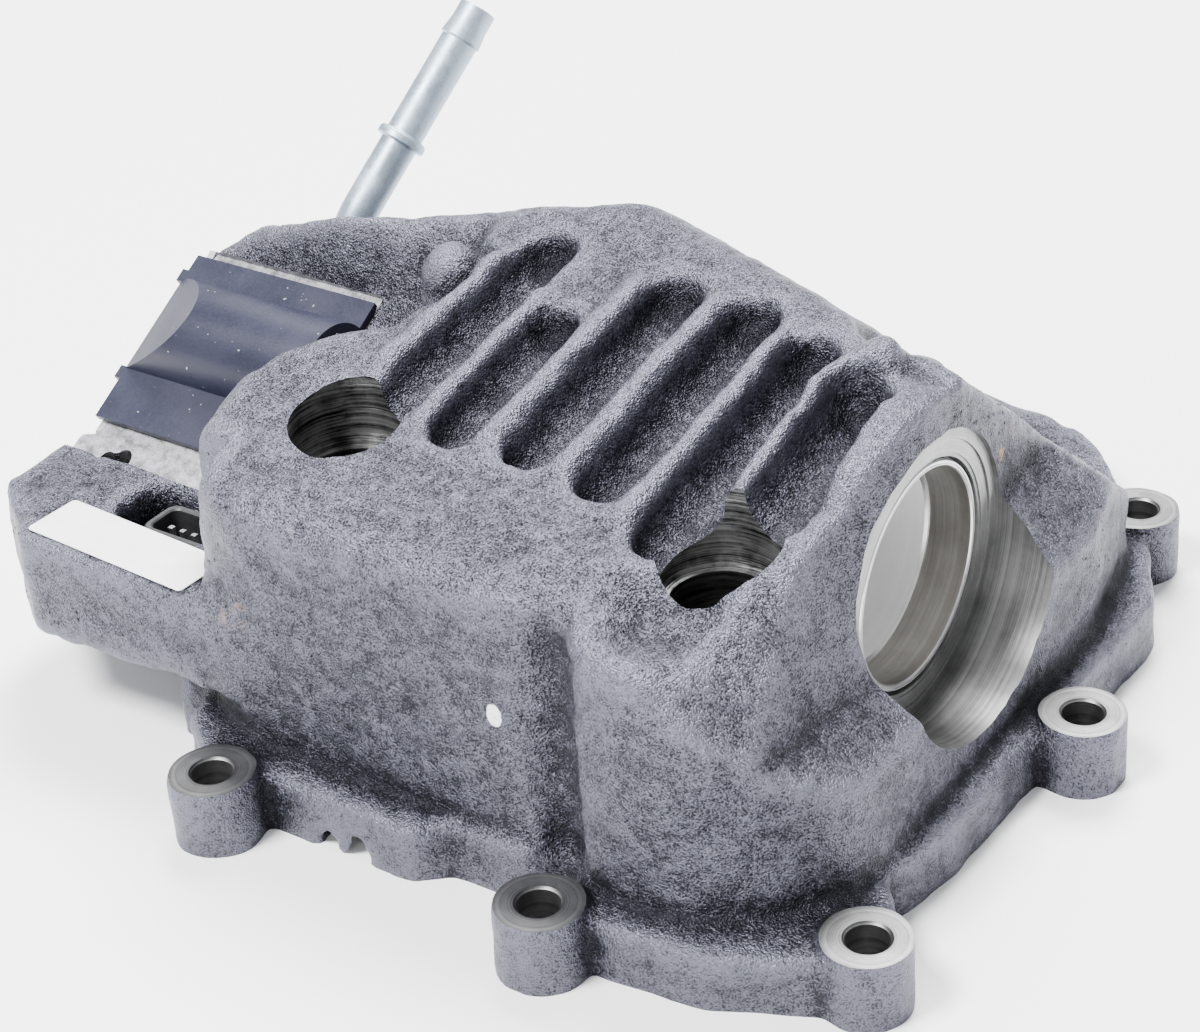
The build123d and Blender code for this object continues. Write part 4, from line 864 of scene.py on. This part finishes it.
def machine(casting, curvatureForShade, settings):
    # the "deep" slot carries the painted shade of the deep pocket step
    finishes = {"face": "faceIron", "port": "portIron", "pocket": "pocketIron", "boss": "bossIron",
                "hole": "holeIron", "deep": "pocketShadedDeep"}
    metals = [castIron] + [machined[name] for name in finishes.values()] + [plain["scouredIron"]]
    slots = {name: index for index, name in enumerate([*finishes, "pad"], start=1)}
    casting.data.materials.clear()
    for metal in metals:
        casting.data.materials.append(metal)
    tools = [cutter(group, metals) for group in cutsOf(settings, slots)]
    for tool in tools:
        cut = casting.modifiers.new("cut", "BOOLEAN")
        cut.operation = "DIFFERENCE"
        cut.solver = "MANIFOLD"
        cut.object = tool
    applied(casting, "castHousing")
    for tool in tools:
        bpy.data.objects.remove(tool)
    sharpWhereCut(casting.data, settings["sharpAbove"])
    markPaintedCrestLight(casting.data, curvatureForShade, settings["crestMost"])
    print("casting machined", len(casting.data.polygons))
    return casting


casting = machine(*buildCasting(castingSet), machiningSet)
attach(casting, "housing")
for name in castNodes:
    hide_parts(name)


# loose sand burnt onto the skin: small flattened grains scattered over the cast faces
noduleSet = {
    "density": 42000.0,                    # per square metre
    "least": 0.00014, "most": 0.00042,     # m
    "seed": 5,
    "band": (0.024, 0.086),                # m: heights that carry grains
    "chamber": 0.033,                      # m: none this near the valve axis
    "lift": (0.001, 0.001, 0.001),         # m: where the look-out ray starts above the skin
    "sight": 0.4,                          # m: a ray this long must meet nothing
    "form": (1.0, 1.25, 0.5),              # a grain's length, width and height as shares of its radius
}


def noduleTree(settings, material):
    tree = bpy.data.node_groups.new("sandNodules", "GeometryNodeTree")
    sockets = {"Geometry": "Geometry", "Density": "Float", "Least Radius": "Float", "Most Radius": "Float",
               "Seed": "Int"}
    for name, kind in sockets.items():
        tree.interface.new_socket(name, in_out="INPUT", socket_type="NodeSocket" + kind)
    tree.interface.new_socket("Geometry", in_out="OUTPUT", socket_type="NodeSocketGeometry")

    def add(kind, settings=None, values=None):
        made = tree.nodes.new(kind)
        for key, value in (settings or {}).items():
            setattr(made, key, value)
        for key, value in (values or {}).items():
            if isinstance(value, bpy.types.NodeSocket):
                tree.links.new(value, made.inputs[key])
            else:
                made.inputs[key].default_value = value
        return made

    def both(first, second):
        values = {0: first.outputs[0], 1: second.outputs[0]}
        return add("FunctionNodeBooleanMath", {"operation": "AND"}, values)

    def compared(socket, operation, limit):
        kind = {"data_type": "FLOAT", "operation": operation}
        return add("FunctionNodeCompare", kind, {0: socket, 1: limit})

    def vector(operation, values):
        return add("ShaderNodeVectorMath", {"operation": operation}, values)

    # the sand skin in the band of heights
    given = add("NodeGroupInput")
    source, seed = given.outputs["Geometry"], given.outputs["Seed"]
    index = add("GeometryNodeInputMaterialIndex")
    skin = add("FunctionNodeCompare", {"data_type": "INT", "operation": "EQUAL"}, {2: index.outputs[0], 3: 0})
    place = add("GeometryNodeInputPosition").outputs[0]
    height = add("ShaderNodeSeparateXYZ", {}, {0: place}).outputs[2]
    lowest, highest = settings["band"]
    inBand = both(compared(height, "GREATER_THAN", lowest), compared(height, "LESS_THAN", highest))

    # only where a ray straight out meets nothing, and never in the valve's chamber
    outward = add("GeometryNodeInputNormal").outputs[0]
    lifted = vector("MULTIPLY_ADD", {0: outward, 1: settings["lift"], 2: place})
    ray = add("GeometryNodeRaycast", {}, {
        "Target Geometry": source, "Source Position": lifted.outputs[0], "Ray Direction": outward,
        "Ray Length": settings["sight"]})
    unhidden = add("FunctionNodeBooleanMath", {"operation": "NOT"}, {0: ray.outputs["Is Hit"]})
    fromAxis = vector("SUBTRACT", {0: place, 1: (0.0, 0.0, axisHeight * mm)})
    across = vector("MULTIPLY", {0: fromAxis.outputs[0], 1: (0.0, 1.0, 1.0)})
    away = vector("LENGTH", {0: across.outputs[0]})
    outside = compared(away.outputs[1], "GREATER_THAN", settings["chamber"])
    chosen = both(inBand, both(skin, both(unhidden, outside)))

    # flattened grains of mixed size
    points = add("GeometryNodeDistributePointsOnFaces", {"distribute_method": "RANDOM"}, {
        "Mesh": source, "Selection": chosen.outputs[0], "Density": given.outputs["Density"], "Seed": seed})
    grain = add("GeometryNodeMeshIcoSphere", {}, {"Radius": 1.0, "Subdivisions": 1})
    size = add("FunctionNodeRandomValue", {"data_type": "FLOAT"}, {
        "Min": given.outputs["Least Radius"], "Max": given.outputs["Most Radius"], "Seed": seed})
    flat = vector("SCALE", {0: settings["form"], "Scale": size.outputs[1]})
    placed = add("GeometryNodeInstanceOnPoints", {}, {
        "Points": points.outputs["Points"], "Instance": grain.outputs["Mesh"],
        "Rotation": points.outputs["Rotation"], "Scale": flat.outputs[0]})
    real = add("GeometryNodeRealizeInstances", {}, {"Geometry": placed.outputs["Instances"]})
    smooth = add("GeometryNodeSetShadeSmooth", {}, {"Geometry": real.outputs[0]})
    finished = add("GeometryNodeSetMaterial", {}, {"Geometry": smooth.outputs[0], "Material": material})
    add("NodeGroupOutput", {}, {0: finished.outputs[0]})
    return tree


def scatterNodules(source, settings, material):
    tree = noduleTree(settings, material)
    piece = bpy.data.objects.new("sandNodules", source.data.copy())
    bpy.context.scene.collection.objects.link(piece)
    scatter = piece.modifiers.new("scatter", "NODES")
    scatter.node_group = tree
    given = {item.name: item.identifier for item in tree.interface.items_tree if item.in_out == "INPUT"}
    scatter[given["Density"]] = settings["density"]
    scatter[given["Least Radius"]] = settings["least"]
    scatter[given["Most Radius"]] = settings["most"]
    scatter[given["Seed"]] = settings["seed"]
    applied(piece, "sandNodules")
    print("nodules", len(piece.data.polygons))
    return piece


nodules = scatterNodules(casting, noduleSet, castIron)
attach(nodules, "housing")
for name in castNodes:
    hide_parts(name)


# sleeve in the port: a turned profile with a chamfered rim, a fine groove and a step inside; its deep bore
# wears a painted reflection
sleeveSet = {
    "profile": ((31.0, 22.3), (31.0, 24.9), (60.5, 24.9), (61.0, 24.5), (61.0, 24.15), (60.7, 24.05),
                (60.7, 23.85), (61.0, 23.75), (61.0, 23.6), (60.7, 23.3), (51.0, 23.3), (50.9, 22.75),
                (50.2, 22.3)),
    # "deep" faces wear the near-white painted reflection of the bore
    "finish": ["deep"] + ["rim"] * 8 + ["mouth", "rim", "rim", "deep"],
    "sides": 192,
    "crease": 20,                          # degrees
}


def turned(name, settings, metals):
    profile, sides = settings["profile"], settings["sides"]
    kinds = list(metals)
    built = bmesh.new()
    rings = []
    for step in range(sides):
        angle = 2 * math.pi * step / sides
        side, up = math.cos(angle), math.sin(angle)
        rings.append([built.verts.new((x * mm, r * mm * side, (axisHeight + r * up) * mm))
                      for x, r in profile])
    for step in range(sides):
        here, beyond = rings[step], rings[(step + 1) % sides]
        for i in range(len(profile)):
            j = (i + 1) % len(profile)
            face = built.faces.new((here[i], here[j], beyond[j], beyond[i]))
            face.material_index = kinds.index(settings["finish"][i])
            face.smooth = True
    bmesh.ops.recalc_face_normals(built, faces=built.faces)
    mesh = bpy.data.meshes.new(name)
    built.to_mesh(mesh)
    built.free()
    for metal in metals.values():
        mesh.materials.append(metal)
    mesh.set_sharp_from_angle(angle=math.radians(settings["crease"]))
    piece = bpy.data.objects.new(name, mesh)
    bpy.context.scene.collection.objects.link(piece)
    return piece


sleeve = turned("portSleeve", sleeveSet, {"deep": machined["sleevePaintedReflection"], "mouth": machined["sleeveMouth"],
                                          "rim": machined["sleeveSteel"]})
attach(sleeve, "housing")
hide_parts("port_sleeve")

# pieces that keep their CAD shape and get broken edges; angles in degrees, widths in mm
edgeSet = {"flat": 0.05, "bevelFrom": 32, "crease": 20}
dressSet = {
    "actuator_cover": {"name": "driveCover", "width": 0.55, "crease": 9, "slot": "cover_plastic"},
    "cover_gasket": {"name": "coverGasket", "width": 0.15, "slot": "seal_rubber"},
    "end_plate": {"name": "endPlate", "width": 0.35, "slot": "plate_aluminium"},
    "end_plate_screws": {"name": "endScrews", "width": 0.25, "slot": "screw_zinc"},
    "coolant_tube": {"name": "coolantTube", "width": 0.25, "slot": "tube_zinc"},
    "connector_shell": {"name": "plugShell", "width": 0.35, "slot": "plug_plastic"},
    "blank_label": {"name": "blankLabel", "width": 0.08, "slot": "label_white"},
}


def dressed(node, settings):
    settings = {**edgeSet, **settings}
    built = bmesh.new()
    built.from_mesh(nodes[node].data)
    bmesh.ops.remove_doubles(built, verts=built.verts, dist=weld)
    flat = math.radians(settings["flat"])
    bmesh.ops.dissolve_limit(built, angle_limit=flat, verts=built.verts, edges=built.edges)
    mesh = bpy.data.meshes.new(settings["name"])
    built.to_mesh(mesh)
    built.free()
    mesh.materials.append(nodeFinish[node])
    piece = bpy.data.objects.new(settings["name"], mesh)
    bpy.context.scene.collection.objects.link(piece)
    edge = piece.modifiers.new("edge", "BEVEL")
    edge.width = settings["width"] * mm
    edge.segments = 1
    edge.limit_method = "ANGLE"
    edge.angle_limit = math.radians(settings["bevelFrom"])
    edge.use_clamp_overlap = True
    applied(piece, settings["name"])
    piece.data.shade_smooth()
    piece.data.set_sharp_from_angle(angle=math.radians(settings["crease"]))
    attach(piece, "housing")
    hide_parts(node)
    return piece


for node, settings in dressSet.items():
    dressed(node, settings)
print("pieces dressed")


# floor and light
floorSet = {"size": 4.0, "colour": (0.93, 0.93, 0.94, 1), "roughness": 0.8}


def makeFloor(settings):
    built = bmesh.new()
    bmesh.ops.create_grid(built, x_segments=1, y_segments=1, size=settings["size"])
    mesh = bpy.data.meshes.new("floor")
    built.to_mesh(mesh)
    built.free()
    floor = bpy.data.objects.new("floor", mesh)
    bpy.context.scene.collection.objects.link(floor)
    material, shader, place = startMaterial("paleFloor")
    plug(shader, {"Base Color": settings["colour"], "Roughness": settings["roughness"]})
    mesh.materials.append(material)


lightSet = {
    "key": {"place": (-0.35, -0.72, 1.32), "size": 0.5, "power": 66.0},
    "front": {"place": (0.1, -1.3, 0.45), "size": 0.5, "power": 6.0},
    "top": {"place": (-0.30, 0.75, 1.35), "size": 0.8, "power": 80.0},
}
skySet = {"target": (-0.02, 0.0, 0.04), "colour": (0.97, 0.98, 1.0, 1), "strength": 0.88}


def makeLights(settings, sky):
    target = Vector(sky["target"])
    for name, values in settings.items():
        data = bpy.data.lights.new(name, "AREA")
        data.shape = "DISK"
        data.size = values["size"]
        data.energy = values["power"]
        light = bpy.data.objects.new(name, data)
        bpy.context.scene.collection.objects.link(light)
        light.location = values["place"]
        light.rotation_euler = (target - light.location).to_track_quat("-Z", "Y").to_euler()
    world = bpy.data.worlds.new("studio")
    world.use_nodes = True
    world.node_tree.nodes["Background"].inputs[0].default_value = sky["colour"]
    world.node_tree.nodes["Background"].inputs[1].default_value = sky["strength"]
    bpy.context.scene.world = world


makeFloor(floorSet)
makeLights(lightSet, skySet)
print("stage set")
